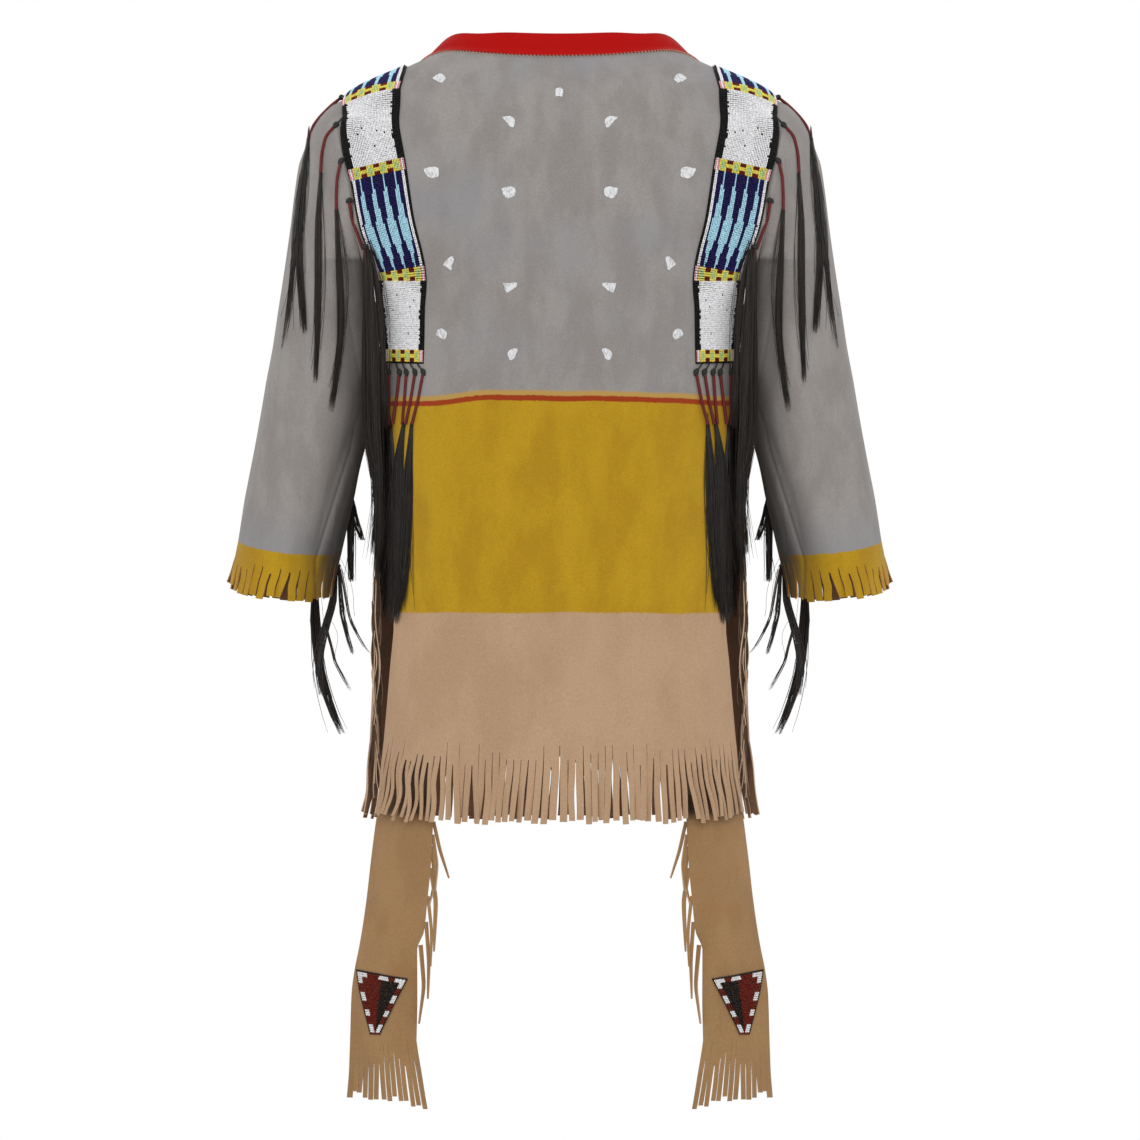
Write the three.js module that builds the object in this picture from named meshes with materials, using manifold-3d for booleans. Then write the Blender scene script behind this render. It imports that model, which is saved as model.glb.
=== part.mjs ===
// A poncho-cut war shirt of two painted hides, filled out as when worn, in millimetres with +Z up.
// The wearer's back faces -Y, and +X is the wearer's right. The origin is on the shoulder line under the neck.
import * as THREE from "three";
import Module from "manifold-3d";
import { mergeVertices } from "three/addons/utils/BufferGeometryUtils.js";

const wasm = await Module();
wasm.setup();

// ---- driving sizes ----
const HIDE = 1.6; // wall of the body and sleeve hides
const SEAM = 0.3; // gap between two pieces at a seam
const SLEEVE_GAP = 0.45; // the same at the armhole, measured along X
const STRIP_WIDTH = 62;
const STRIP_WALL = 2.4; // seed beads on their backing
const STRIP_BACK_LENGTH = 358; // from the shoulder line down the back, and as much down the front
const STRIP_ROWS = 40;
const STRIP_COLUMNS = 4;
const COLLAR_WIDTH = 24;
const COLLAR_WALL = 2;
const COLLAR_LEAN = { back: 0.29, side: 0.8 }; // share of its width that it leans inward
const NECK_RISE = 28; // how far the back neckline bows up between its centre and its ends
const FRINGE_BAND = 6; // height of the narrow band that joins a fringe's strands
const FRINGE_WALL = 1.4;
const HEM_STRANDS = 46;
const HEM_END = { side: -815, middle: -823 }; // heights of the hem fringe's ends
const CUFF_STRANDS = 28;
const CUFF_FRINGE_LENGTH = 34;
const LEG_STRANDS = 11;
const LEG_END = { outer: -1118, inner: -1131 };
const STRAND_SHARE = 0.86; // of the pitch; the rest is the slit between two strands
const RING_POWER = 2.4; // 2 is an ellipse; more is squarer
const BACK = -1;
const FRONT = 1;

// Rings of the body: half width, and depth to the back and to the front, all in mm.
const BODY = [
  { z: 1, half: 148, back: 75, front: 72 },
  { z: -42, half: 233, back: 100, front: 96 },
  { z: -80, half: 248, back: 112, front: 108 },
  { z: -115, half: 262, back: 118, front: 115 },
  { z: -150, half: 279, back: 121, front: 119 },
  { z: -180, half: 286, back: 122, front: 121 },
  { z: -212, half: 262, back: 122, front: 121 },
  { z: -240, half: 233, back: 121, front: 120 },
  { z: -270, half: 213, back: 120, front: 119 },
  { z: -305, half: 203, back: 119, front: 118 },
  { z: -345, half: 200, back: 118, front: 117 },
  { z: -480, half: 199, back: 116, front: 115 },
  { z: -620, half: 200, back: 114, front: 114 },
  { z: -750, half: 205, back: 118, front: 117 },
  { z: -830, half: 210, back: 122, front: 120 },
];

// Where each hide ends at its side, in degrees round the ring from the centre line.
const SIDE_EDGE = [
  { z: -42, back: 90, front: 90 },
  { z: -45, back: 82, front: 82 },
  { z: -50, back: 76, front: 76 },
  { z: -59, back: 71.5, front: 71.5 },
  { z: -74, back: 67, front: 67 },
  { z: -95, back: 61.5, front: 61.5 },
  { z: -120, back: 55.5, front: 55.5 },
  { z: -150, back: 49.7, front: 49.7 },
  { z: -180, back: 47, front: 47 },
  { z: -207, back: 48, front: 48 },
  { z: -232, back: 51, front: 51 },
  { z: -256, back: 56, front: 56 },
  { z: -290, back: 63.5, front: 63.5 },
  { z: -330, back: 64.8, front: 76 },
  { z: -375, back: 63.8, front: 91 },
  { z: -430, back: 62.5, front: 92 },
  { z: -520, back: 61, front: 92 },
  { z: -610, back: 60.5, front: 92 },
  { z: -650, back: 62.5, front: 92 },
  { z: -735, back: 65.5, front: 92 },
];
const SHOULDER_ROWS = [1, -9, -20, -31]; // heights at the shoulder seam
const ARMHOLE_ROWS = SIDE_EDGE.slice(0, 10).map((row) => row.z);
const SIDE_ROWS = [-232, -256, -290, -330, -375, -450, -530, -610, -680, -735];
const BACK_COLUMNS = 18;
const FRONT_COLUMNS = 16;
const HEM_DIP = 13; // the hem hangs lower at its centre
const BACK_NECK_DIP = -4; // the back neckline's centre lies above its ends
const FRONT_NECK_DIP = 33;
const NECK_DIP_REACH = 150; // height over which rows level out below the neckline
const COLUMN_SPREAD = 1.15; // evens out the columns round the squarer ring
const HEM_REACH = 80; // height over which the fringe's swing outward is taken

// The sleeve's rings: outer and inner end in the X-Z plane, depth each way, share of the width that lies flat
// on the inner side, and share of the cuff's dip.
const SLEEVE = [
  { outerX: 233, outerZ: -42, innerX: 203, innerZ: -246, depth: 84, flat: 0, cuff: 0 },
  { outerX: 246, outerZ: -48, innerX: 204, innerZ: -262, depth: 84, flat: 0, cuff: 0 },
  { outerX: 260, outerZ: -60, innerX: 205, innerZ: -279, depth: 81, flat: 0, cuff: 0 },
  { outerX: 273, outerZ: -87, innerX: 206, innerZ: -296, depth: 77, flat: 0, cuff: 0 },
  { outerX: 284, outerZ: -132, innerX: 207, innerZ: -318, depth: 72, flat: 0.02, cuff: 0 },
  { outerX: 294, outerZ: -196, innerX: 210, innerZ: -348, depth: 68, flat: 0.04, cuff: 0 },
  { outerX: 304, outerZ: -262, innerX: 213, innerZ: -384, depth: 65, flat: 0.06, cuff: 0 },
  { outerX: 315, outerZ: -336, innerX: 217.5, innerZ: -422, depth: 62, flat: 0.09, cuff: 0 },
  { outerX: 326, outerZ: -406, innerX: 223, innerZ: -464, depth: 59, flat: 0.14, cuff: 0 },
  { outerX: 338, outerZ: -472, innerX: 231.5, innerZ: -506, depth: 57, flat: 0.17, cuff: 0.5 },
  { outerX: 350.5, outerZ: -536, innerX: 241.4, innerZ: -546, depth: 56, flat: 0.19, cuff: 1 },
];
const CUFF_DIP = 9; // the cuff's back and front hang lower than its ends

// The beaded strip's centre line, from the shoulder line down.
const STRIP_LINE = [
  { x: 200, z: -25.3 },
  { x: 205, z: -43 },
  { x: 203.5, z: -75 },
  { x: 198, z: -122 },
  { x: 188.5, z: -176 },
  { x: 170, z: -228 },
  { x: 166.5, z: -270 },
  { x: 165, z: -340 },
];

// The hide's leg that hangs from inside the back hem: its two edges and how far back each lies.
const LEG = [
  { z: -722, outer: 186, inner: 134, outerDepth: 0, innerDepth: 0 },
  { z: -748, outer: 189, inner: 134.5, outerDepth: 0, innerDepth: 0 },
  { z: -786, outer: 193, inner: 135.5, outerDepth: 0, innerDepth: 0 },
  { z: -825, outer: 198, inner: 136.6, outerDepth: 42, innerDepth: 90 },
  { z: -865, outer: 203, inner: 138.5, outerDepth: 47, innerDepth: 90 },
  { z: -905, outer: 207.5, inner: 142.5, outerDepth: 51, innerDepth: 91 },
  { z: -940, outer: 212.5, inner: 146.5, outerDepth: 53, innerDepth: 86 },
  { z: -960, outer: 216, inner: 154, outerDepth: 55, innerDepth: 83 },
  { z: -985, outer: 221, inner: 154, outerDepth: 57, innerDepth: 81 },
  { z: -1010, outer: 224, inner: 154, outerDepth: 59, innerDepth: 80 },
  { z: -1058, outer: 225.5, inner: 155, outerDepth: 61, innerDepth: 80 },
];
const LEG_LIES_TO = -760; // above this the leg lies against the body hide
const LEG_HANGS_FROM = -830; // and below this it hangs free
const LEG_WALL = 1.5;
const LEG_CROWN = 12; // how far the leg's middle bows back
const LEG_COLUMNS = 6;

const PATCH_TOP = -982;
const PATCH_BOTTOM = -1052;
const PATCH_TOP_SPAN = [0.04, 0.82]; // share of the leg's width, from its outer edge
const PATCH_TIP_SPAN = [0.36, 0.5];
const PATCH_WALL = 2;

// Hair locks: each leaves its strip at a knot, runs down as a wrapped stem, and goes on as loose hair.
const KNOT_RADIUS = 3.6;
const STEM_RADIUS = 2.5;
const HAIR_RADIUS = 3.6;
const HAIR_TIP_RADIUS = 1.5;
const BINDING_RADIUS = 1.5; // the cord that the locks are tied to
const BINDING_INSET = 5; // how far it lies inside the strip's outer edge
const LOCK_CLEARANCE = 6.5;
// Along the strip's outer edge, measured from the shoulder line; the rest are places in the X-Z plane.
const EDGE_LOCKS = [
  { along: 12, knotX: 236, knotZ: -44, stemX: 270, stemZ: -81, tipX: 276, tipZ: -300 },
  { along: 44, knotX: 242, knotZ: -70, stemX: 259, stemZ: -122, tipX: 262, tipZ: -350 },
  { along: 86, knotX: 237, knotZ: -109, stemX: 241, stemZ: -163, tipX: 248, tipZ: -381 },
  { along: 134, knotX: 229, knotZ: -150, stemX: 213, stemZ: -206, tipX: 218, tipZ: -470 },
  { along: 190, knotX: 210, knotZ: -203, stemX: 203, stemZ: -254, tipX: 209, tipZ: -517 },
  { along: 248, knotX: 194, knotZ: -254, stemX: 198, stemZ: -307, tipX: 202, tipZ: -536 },
  { along: 300, knotX: 193, knotZ: -308, stemX: 200, stemZ: -360, tipX: 200, tipZ: -560 },
];
const FRONT_EDGE_LOCKS = 4; // the front carries the upper ones
// At the strip's end, from its outer side inward.
const END_LOCKS = [
  { across: 23, stemX: 181, tipX: 184 },
  { across: 12, stemX: 176.5, tipX: 182 },
  { across: 1, stemX: 169.5, tipX: 174 },
  { across: -11, stemX: 163, tipX: 167 },
  { across: -23, stemX: 156.5, tipX: 160 },
];
const END_KNOT_Z = -342;
const END_STEM_Z = -393;
const END_TIP_Z = -606;
// Down the front of the sleeve, to below its cuff.
const SLEEVE_LOCKS = [
  { rootX: 272, rootZ: -474, stemX: 270, stemZ: -540, bendX: 264, bendZ: -657, tipX: 235, tipZ: -730 },
  { rootX: 264, rootZ: -474, stemX: 258, stemZ: -540, bendX: 254, bendZ: -612, tipX: 252, tipZ: -655 },
  { rootX: 256, rootZ: -474, stemX: 247, stemZ: -540, bendX: 238, bendZ: -600, tipX: 225, tipZ: -646 },
  { rootX: 248, rootZ: -474, stemX: 236, stemZ: -535, bendX: 226, bendZ: -590, tipX: 208, tipZ: -640 },
];

// Loose strands of hide that hang from an edge: height of the root, length, and lane, counted outward.
const SIDE_STRANDS = [
  { z: -548, length: 110, lane: 0 },
  { z: -582, length: 118, lane: 1 },
  { z: -618, length: 106, lane: 2 },
  { z: -654, length: 104, lane: 0 },
  { z: -690, length: 92, lane: 1 },
  { z: -722, length: 70, lane: 2 },
];
const LEG_SIDE_STRANDS = [
  { z: -840, length: 56, lane: 1 },
  { z: -868, length: 60, lane: 0 },
  { z: -898, length: 60, lane: 1 },
  { z: -926, length: 78, lane: 0 },
  { z: -955, length: 84, lane: 1 },
];
const SIDE_BINDING_TOP = -540;
const STRAND_RADIUS = 1.7;
const LANE_PITCH = 4.5;

const SHOULDER_HALF = BODY[0].half; // half the neckline's width

// ---- small helpers ----
const vec = (x, y, z) => new THREE.Vector3(x, y, z);
const mix = (a, b, t) => a + (b - a) * t;
const signedPower = (value, power) => Math.sign(value) * Math.abs(value) ** power;
const wave = (i, step) => Math.sin(i * step); // an even-handed unevenness for strands

/** A table's column at height z: a cubic through the rows, whose z falls, that never overshoots them. */
function column(table, name, z) {
  const slope = (i) => (table[i + 1][name] - table[i][name]) / (table[i + 1].z - table[i].z);
  const tangent = (i) => {
    if (i === 0) return slope(0);
    if (i === table.length - 1) return slope(i - 1);
    const before = slope(i - 1);
    const after = slope(i);
    return before * after > 0 ? (2 * before * after) / (before + after) : 0;
  };
  let k = 0;
  while (k < table.length - 2 && z < table[k + 1].z) k++;
  const a = table[k];
  const b = table[k + 1];
  if (z > a.z) return a[name] + tangent(k) * (z - a.z);
  if (z < b.z) return b[name] + tangent(k + 1) * (z - b.z);
  const h = b.z - a.z;
  const t = (z - a.z) / h;
  return (
    (2 * t ** 3 - 3 * t ** 2 + 1) * a[name] +
    (t ** 3 - 2 * t ** 2 + t) * h * tangent(k) +
    (3 * t ** 2 - 2 * t ** 3) * b[name] +
    (t ** 3 - t ** 2) * h * tangent(k + 1)
  );
}

// ---- the body's surface ----
const depthName = (side) => (side === BACK ? "back" : "front");

function bodyPoint(side, degrees, z) {
  const angle = THREE.MathUtils.degToRad(degrees);
  return vec(
    column(BODY, "half", z) * signedPower(Math.sin(angle), 2 / RING_POWER),
    side * column(BODY, depthName(side), z) * signedPower(Math.cos(angle), 2 / RING_POWER),
    z,
  );
}

/** The point of the body's back or front that lies at x across and z up. */
function bodyPointAt(side, x, z) {
  const share = Math.min(1, Math.abs(x) / column(BODY, "half", z));
  return vec(x, side * column(BODY, depthName(side), z) * (1 - share ** RING_POWER) ** (1 / RING_POWER), z);
}

/** How far a point lies from the body's surface, as a pure number, and the surface's gradient there. */
function bodyField(p) {
  const depth = depthName(p.y < 0 ? BACK : FRONT);
  const half = column(BODY, "half", p.z);
  const deep = column(BODY, depth, p.z);
  const step = 0.5;
  const halfSlope = (column(BODY, "half", p.z + step) - column(BODY, "half", p.z - step)) / (2 * step);
  const deepSlope = (column(BODY, depth, p.z + step) - column(BODY, depth, p.z - step)) / (2 * step);
  const across = Math.abs(p.x / half);
  const through = Math.abs(p.y / deep);
  const gradient = vec(
    (Math.sign(p.x) * across ** (RING_POWER - 1)) / half,
    (Math.sign(p.y) * through ** (RING_POWER - 1)) / deep,
    -(across ** RING_POWER * halfSlope) / half - (through ** RING_POWER * deepSlope) / deep,
  ).multiplyScalar(RING_POWER);
  return { value: across ** RING_POWER + through ** RING_POWER - 1, gradient };
}

const bodyNormal = (p) => bodyField(p).gradient.normalize();

function ontoBody(p) {
  const q = p.clone();
  for (let pass = 0; pass < 6; pass++) {
    const { value, gradient } = bodyField(q);
    q.addScaledVector(gradient, -value / gradient.lengthSq());
  }
  return q;
}

// ---- closed walls ----
/** A mesh geometry from a list of points and a list of triangles. */
function geometryOf(points, triangles) {
  const g = new THREE.BufferGeometry();
  g.setAttribute("position", new THREE.Float32BufferAttribute(points.flatMap((p) => p.toArray()), 3));
  g.setIndex(triangles.flat());
  return g;
}

/** Normals of a grid of points from its neighbours; `around` joins each row's ends. */
function gridNormals(grid, around) {
  const last = grid[0].length - 1;
  return grid.map((row, r) =>
    row.map((_, c) => {
      const before = around ? row[(c + last) % (last + 1)] : row[Math.max(0, c - 1)];
      const after = around ? row[(c + 1) % (last + 1)] : row[Math.min(last, c + 1)];
      const up = grid[Math.max(0, r - 1)][c];
      const down = grid[Math.min(grid.length - 1, r + 1)][c];
      return after.clone().sub(before).cross(down.clone().sub(up)).normalize();
    }),
  );
}

/** The same, all turned to the side that `direction` points to at the grid's first point. */
function normalsFacing(grid, around, direction) {
  const normals = gridNormals(grid, around);
  const turn = Math.sign(normals[0][0].dot(direction));
  normals.flat().forEach((n) => n.multiplyScalar(turn));
  return normals;
}

/** A closed wall between a grid of points and the same grid moved `wall` along its normals. */
function wallOf(grid, normals, wall, around = false) {
  const rows = grid.length;
  const cols = grid[0].length;
  const inner = grid.flat();
  const outer = inner.map((p, i) => p.clone().addScaledVector(normals.flat()[i], wall));
  const shift = rows * cols;
  const at = (r, c) => r * cols + (c % cols);
  const triangles = [];
  const quad = (a, b, c, d) => triangles.push([a, b, c], [a, c, d]);
  const cells = around ? cols : cols - 1;
  for (let r = 0; r < rows - 1; r++)
    for (let c = 0; c < cells; c++) {
      const [a, b, d, e] = [at(r, c), at(r, c + 1), at(r + 1, c + 1), at(r + 1, c)];
      if (c < cells / 2) {
        quad(a + shift, e + shift, d + shift, b + shift);
        quad(a, b, d, e);
      } else {
        quad(b + shift, a + shift, e + shift, d + shift); // cut the other way, as in a mirror
        quad(b, d, e, a);
      }
    }
  for (let c = 0; c < cells; c++) {
    quad(at(0, c), at(0, c) + shift, at(0, c + 1) + shift, at(0, c + 1));
    const low = rows - 1;
    quad(at(low, c + 1), at(low, c + 1) + shift, at(low, c) + shift, at(low, c));
  }
  if (!around)
    for (let r = 0; r < rows - 1; r++) {
      quad(at(r + 1, 0), at(r + 1, 0) + shift, at(r, 0) + shift, at(r, 0));
      const end = cols - 1;
      quad(at(r, end), at(r, end) + shift, at(r + 1, end) + shift, at(r + 1, end));
    }
  return facingOut(geometryOf([...inner, ...outer], triangles));
}

function signedVolume(g) {
  const p = g.getAttribute("position");
  const corner = (i) => vec(p.getX(i), p.getY(i), p.getZ(i));
  let sum = 0;
  for (let i = 0; i < g.index.count; i += 3) {
    const [a, b, c] = [0, 1, 2].map((k) => corner(g.index.getX(i + k)));
    sum += a.dot(b.cross(c)) / 6;
  }
  return sum;
}

/** Turns every triangle round when the geometry is inside out. */
function facingOut(g) {
  if (signedVolume(g) > 0) return g;
  const order = Array.from(g.index.array);
  for (let i = 0; i < order.length; i += 3) [order[i + 1], order[i + 2]] = [order[i + 2], order[i + 1]];
  g.setIndex(order);
  return g;
}

/** A comb: a narrow band along a line of places, with a flat strand of `segments` pieces under each place. */
function combOf(places, wall, band, segments) {
  const points = [];
  const triangles = [];
  const quad = (a, b, c, d) => triangles.push([a, b, c], [a, c, d]);
  const pair = (p, normal) => {
    points.push(p.clone(), p.clone().addScaledVector(normal, wall));
    return points.length - 2;
  };
  const strands = places.map((place) => {
    const corner = (share, drop, sway) =>
      place.root
        .clone()
        .addScaledVector(place.side, share * place.width + sway)
        .addScaledVector(place.down, drop);
    const left = [];
    const right = [];
    const drops = [0, band];
    for (let k = 1; k <= segments; k++) drops.push(band + ((place.length - band) * k) / segments);
    drops.forEach((drop, k) => {
      const t = k < 2 ? 0 : (k - 1) / segments;
      const slim = 0.5 * mix(1, place.taper, t);
      left.push(pair(corner(-slim, drop, place.sway * t * t), place.normal));
      right.push(pair(corner(slim, drop, place.sway * t * t), place.normal));
    });
    return { left, right };
  });
  for (const { left, right } of strands) {
    for (let k = 0; k < left.length - 1; k++) {
      quad(left[k], right[k], right[k + 1], left[k + 1]);
      quad(left[k] + 1, left[k + 1] + 1, right[k + 1] + 1, right[k] + 1);
      if (k === 0) continue;
      quad(left[k], left[k + 1], left[k + 1] + 1, left[k] + 1);
      quad(right[k], right[k] + 1, right[k + 1] + 1, right[k + 1]);
    }
    const end = left.length - 1;
    quad(left[0], left[0] + 1, right[0] + 1, right[0]);
    quad(left[end], right[end], right[end] + 1, left[end] + 1);
  }
  strands.slice(1).forEach((next, i) => {
    const before = strands[i].right;
    const after = next.left;
    quad(before[0], after[0], after[1], before[1]);
    quad(before[0] + 1, before[1] + 1, after[1] + 1, after[0] + 1);
    quad(before[0], before[0] + 1, after[0] + 1, after[0]);
    quad(before[1], after[1], after[1] + 1, before[1] + 1);
  });
  const first = strands[0].left;
  const last = strands.at(-1).right;
  quad(first[0], first[1], first[1] + 1, first[0] + 1);
  quad(last[0], last[0] + 1, last[1] + 1, last[1]);
  return facingOut(geometryOf(points, triangles));
}

/** A closed tube of few sides along a line of points, with a radius at each. */
function tubeOf(line, radii, sides = 3) {
  const points = [];
  const triangles = [];
  line.forEach((p, k) => {
    const ahead = line[Math.min(k + 1, line.length - 1)].clone().sub(line[Math.max(k - 1, 0)]).normalize();
    const across = vec(0, 1, 0).cross(ahead).normalize();
    const other = ahead.clone().cross(across);
    for (let s = 0; s < sides; s++) {
      const turn = (s / sides) * 2 * Math.PI;
      points.push(
        p
          .clone()
          .addScaledVector(across, radii[k] * Math.cos(turn))
          .addScaledVector(other, radii[k] * Math.sin(turn)),
      );
    }
  });
  for (let k = 0; k < line.length - 1; k++)
    for (let s = 0; s < sides; s++) {
      const [a, b] = [k * sides + s, k * sides + ((s + 1) % sides)];
      triangles.push([a, b, b + sides], [a, b + sides, a + sides]);
    }
  const end = (line.length - 1) * sides;
  for (let s = 1; s < sides - 1; s++) triangles.push([0, s + 1, s], [end, end + s, end + s + 1]);
  return facingOut(geometryOf(points, triangles));
}

/** One closed body from several that run into each other. */
function joined(geometries) {
  const solids = geometries.map((g) => {
    const bare = mergeVertices(g, 1e-4);
    return new wasm.Manifold(
      new wasm.Mesh({
        numProp: 3,
        vertProperties: new Float32Array(bare.getAttribute("position").array),
        triVerts: new Uint32Array(bare.index.array),
      }),
    );
  });
  const whole = solids.reduce((sum, next) => sum.add(next)).getMesh();
  const g = new THREE.BufferGeometry();
  g.setAttribute("position", new THREE.BufferAttribute(Float32Array.from(whole.vertProperties), 3));
  g.setIndex(new THREE.BufferAttribute(Uint32Array.from(whole.triVerts), 1));
  return g;
}

/** The same piece for the wearer's left, with its faces turned back. */
function mirrored(g) {
  const copy = g.clone();
  const p = copy.getAttribute("position");
  for (let i = 0; i < p.count; i++) p.setX(i, -p.getX(i));
  copy.setIndex(Array.from(copy.index.array).reverse());
  return copy;
}

// ---- materials and the scene graph ----
const finish = (color, roughness) => new THREE.MeshStandardMaterial({ color, roughness, metalness: 0 });
const paintedHide = finish("#928e8c", 0.9);
const ochreHide = finish("#b28b26", 0.9);
const bareHide = finish("#ad8e71", 0.9);
const redWool = finish("#b01312", 0.95);
const seedBeads = finish("#cdcdd0", 0.35);
const darkHair = finish("#2a221d", 0.6);

const shirt = new THREE.Group();
function add(name, geometry, material) {
  const mesh = new THREE.Mesh(geometry, material);
  mesh.name = name;
  shirt.add(mesh);
  return mesh;
}
/** Adds a piece of the wearer's right, and its mirror for the left. */
function addPair(name, geometry, material) {
  return [add(name + "_right", geometry, material), add(name + "_left", mirrored(geometry), material)];
}

// ---- the two hides of the body ----
const edgeDegrees = (side, z) => (z > SIDE_EDGE[0].z ? 90 : column(SIDE_EDGE, depthName(side), z));

/** Height of a row's point: level, but for the neckline's dip and bow and the hem's dip. */
function rowHeight(side, edgeZ, share) {
  const nearNeck = Math.max(0, 1 - (SHOULDER_ROWS[0] - edgeZ) / NECK_DIP_REACH);
  const dip = (side === BACK ? BACK_NECK_DIP : FRONT_NECK_DIP) * nearNeck;
  const onShoulder = Math.max(0, 1 - (SHOULDER_ROWS[0] - edgeZ) / (SHOULDER_ROWS[0] - ARMHOLE_ROWS[0]));
  const bow = side === BACK ? NECK_RISE * onShoulder * (share ** 2 - share ** 4) : 0;
  const nearHem = Math.max(0, 1 - (edgeZ - SIDE_ROWS.at(-1)) / 60);
  return edgeZ + bow - (dip + HEM_DIP * nearHem) * (1 - share ** 2);
}

function hideGrid(side, columns) {
  const rows = [...SHOULDER_ROWS, ...ARMHOLE_ROWS, ...SIDE_ROWS];
  return rows.map((edgeZ) =>
    Array.from({ length: columns + 1 }, (_, c) => {
      const share = (2 * c) / columns - 1;
      const spread = Math.sign(share) * Math.abs(share) ** COLUMN_SPREAD;
      const p = bodyPoint(side, spread * edgeDegrees(side, edgeZ), rowHeight(side, edgeZ, Math.abs(share)));
      if (Math.abs(p.y) < SEAM / 2) p.y = (side * SEAM) / 2;
      return p;
    }),
  );
}

function hide(side, columns) {
  const grid = hideGrid(side, columns);
  const normals = grid.map((row) => row.map((p) => bodyNormal(p)));
  return wallOf(grid, normals, HIDE);
}

const hides = [add("back_hide", hide(BACK, BACK_COLUMNS), paintedHide)];
hides.push(add("front_hide", hide(FRONT, FRONT_COLUMNS), paintedHide));

// ---- sleeves ----
/** The armhole: down the back hide's edge, across under the arm, and up the front hide's edge. */
function armhole() {
  const down = (side) =>
    ARMHOLE_ROWS.slice(1).map((z) => {
      const p = bodyPoint(side, edgeDegrees(side, z), z);
      return { p: p.clone().add(vec(SLEEVE_GAP, 0, 0)), normal: bodyNormal(p) };
    });
  const top = bodyPoint(BACK, 90, ARMHOLE_ROWS[0]);
  const low = SLEEVE[0];
  const under = (side, share) => {
    const corner = down(side).at(-1).p;
    const turn = (share * Math.PI) / 2;
    return {
      p: vec(
        mix(low.innerX, corner.x, Math.cos(turn)),
        corner.y * Math.cos(turn),
        mix(corner.z, low.innerZ, Math.sin(turn)),
      ),
    };
  };
  return [
    { p: top.clone().add(vec(SLEEVE_GAP, 0, 0)), normal: bodyNormal(top) },
    ...down(BACK),
    under(BACK, 0.35),
    under(BACK, 0.7),
    { p: vec(low.innerX, 0, low.innerZ) },
    under(FRONT, 0.7),
    under(FRONT, 0.35),
    ...down(FRONT).reverse(),
  ];
}

/** A sleeve ring's point at a turn round it, 0 at the outer end and half a turn at the inner one. */
function sleevePoint(ring, turn) {
  const across = Math.cos(turn);
  const flatFrom = -1 + 2 * ring.flat;
  const round = (c) => Math.sqrt(Math.max(0, 1 - c * c));
  const flatShare = (across + 1) / (flatFrom + 1);
  const deep = across < flatFrom ? round(flatFrom) * flatShare : round(across);
  const t = (1 - across) / 2;
  const dip = CUFF_DIP * ring.cuff * deep;
  return vec(
    mix(ring.outerX, ring.innerX, t),
    -Math.sign(Math.sin(turn)) * ring.depth * deep,
    mix(ring.outerZ, ring.innerZ, t) - dip,
  );
}

function sleeveGrid() {
  const hole = armhole();
  const top = SLEEVE[0];
  const centre = vec((top.outerX + top.innerX) / 2, 0, (top.outerZ + top.innerZ) / 2);
  const halfHeight = (top.outerZ - top.innerZ) / 2;
  const turns = hole.map(({ p }) => {
    const turn = Math.atan2(-p.y / top.depth, (p.z - centre.z) / halfHeight);
    return turn < -1e-6 ? turn + 2 * Math.PI : turn;
  });
  const rings = SLEEVE.slice(1).map((row) => turns.map((turn) => sleevePoint(row, turn)));
  return { grid: [hole.map(({ p }) => p), ...rings], seamNormals: hole.map(({ normal }) => normal) };
}

function sleeve() {
  const { grid, seamNormals } = sleeveGrid();
  const normals = normalsFacing(grid, true, vec(0, 0, 1));
  seamNormals.forEach((n, c) => n && normals[0][c].copy(n));
  return wallOf(grid, normals, HIDE, true);
}
const sleeves = addPair("sleeve", sleeve(), paintedHide);

// ---- the red wool neck band ----
function collar() {
  const [back, front] = [hideGrid(BACK, BACK_COLUMNS)[0], hideGrid(FRONT, FRONT_COLUMNS)[0]];
  const neckline = [...back, ...front.slice(1, -1).reverse()];
  const ring = (rise) =>
    neckline.map((p) => {
      const toSide = Math.min(1, Math.abs(p.x) / SHOULDER_HALF);
      const lean = mix(COLLAR_LEAN.back, COLLAR_LEAN.side, toSide ** 4);
      const inward = vec(-p.x, -p.y, 0).normalize();
      const climb = HIDE + SEAM + rise * COLLAR_WIDTH;
      return p
        .clone()
        .addScaledVector(inward, lean * climb)
        .add(vec(0, 0, Math.sqrt(1 - lean * lean) * climb));
    });
  const grid = [ring(1), ring(0.5), ring(0)];
  return wallOf(grid, normalsFacing(grid, true, vec(-1, 0, 0)), COLLAR_WALL, true);
}
add("neck_band", collar(), redWool);

// ---- beaded strips ----
/** The strip's centre line on the body: a function of the length from the shoulder line, back below 0. */
function stripLine() {
  const down = (side) => STRIP_LINE.slice(1).map(({ x, z }) => bodyPointAt(side, x, z));
  const top = ontoBody(vec(STRIP_LINE[0].x, 0, STRIP_LINE[0].z));
  const curve = new THREE.CatmullRomCurve3([...down(BACK).reverse(), top, ...down(FRONT)], false, "catmullrom");
  const route = curve.getSpacedPoints(400).map(ontoBody);
  const lengths = [0];
  route.slice(1).forEach((p, i) => lengths.push(lengths[i] + p.distanceTo(route[i])));
  const shoulder = lengths[route.findIndex((p) => p.y > 0)];
  return (along) => {
    const target = shoulder + along;
    const found = lengths.findIndex((l) => l >= target);
    const k = found < 0 ? route.length - 1 : Math.max(1, found);
    const t = (target - lengths[k - 1]) / (lengths[k] - lengths[k - 1]);
    return ontoBody(route[k - 1].clone().lerp(route[k], t));
  };
}
const stripCentre = stripLine();

/** A place on the strip, `across` from its centre line, out to the sleeve above 0. */
function stripPlace(along, across) {
  const centre = stripCentre(along);
  const ahead = stripCentre(along + 2).sub(stripCentre(along - 2)).normalize();
  const outward = ahead.clone().cross(bodyNormal(centre)).normalize();
  if (outward.x < 0) outward.negate();
  const p = ontoBody(centre.addScaledVector(outward, across));
  return { p, normal: bodyNormal(p) };
}

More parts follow.
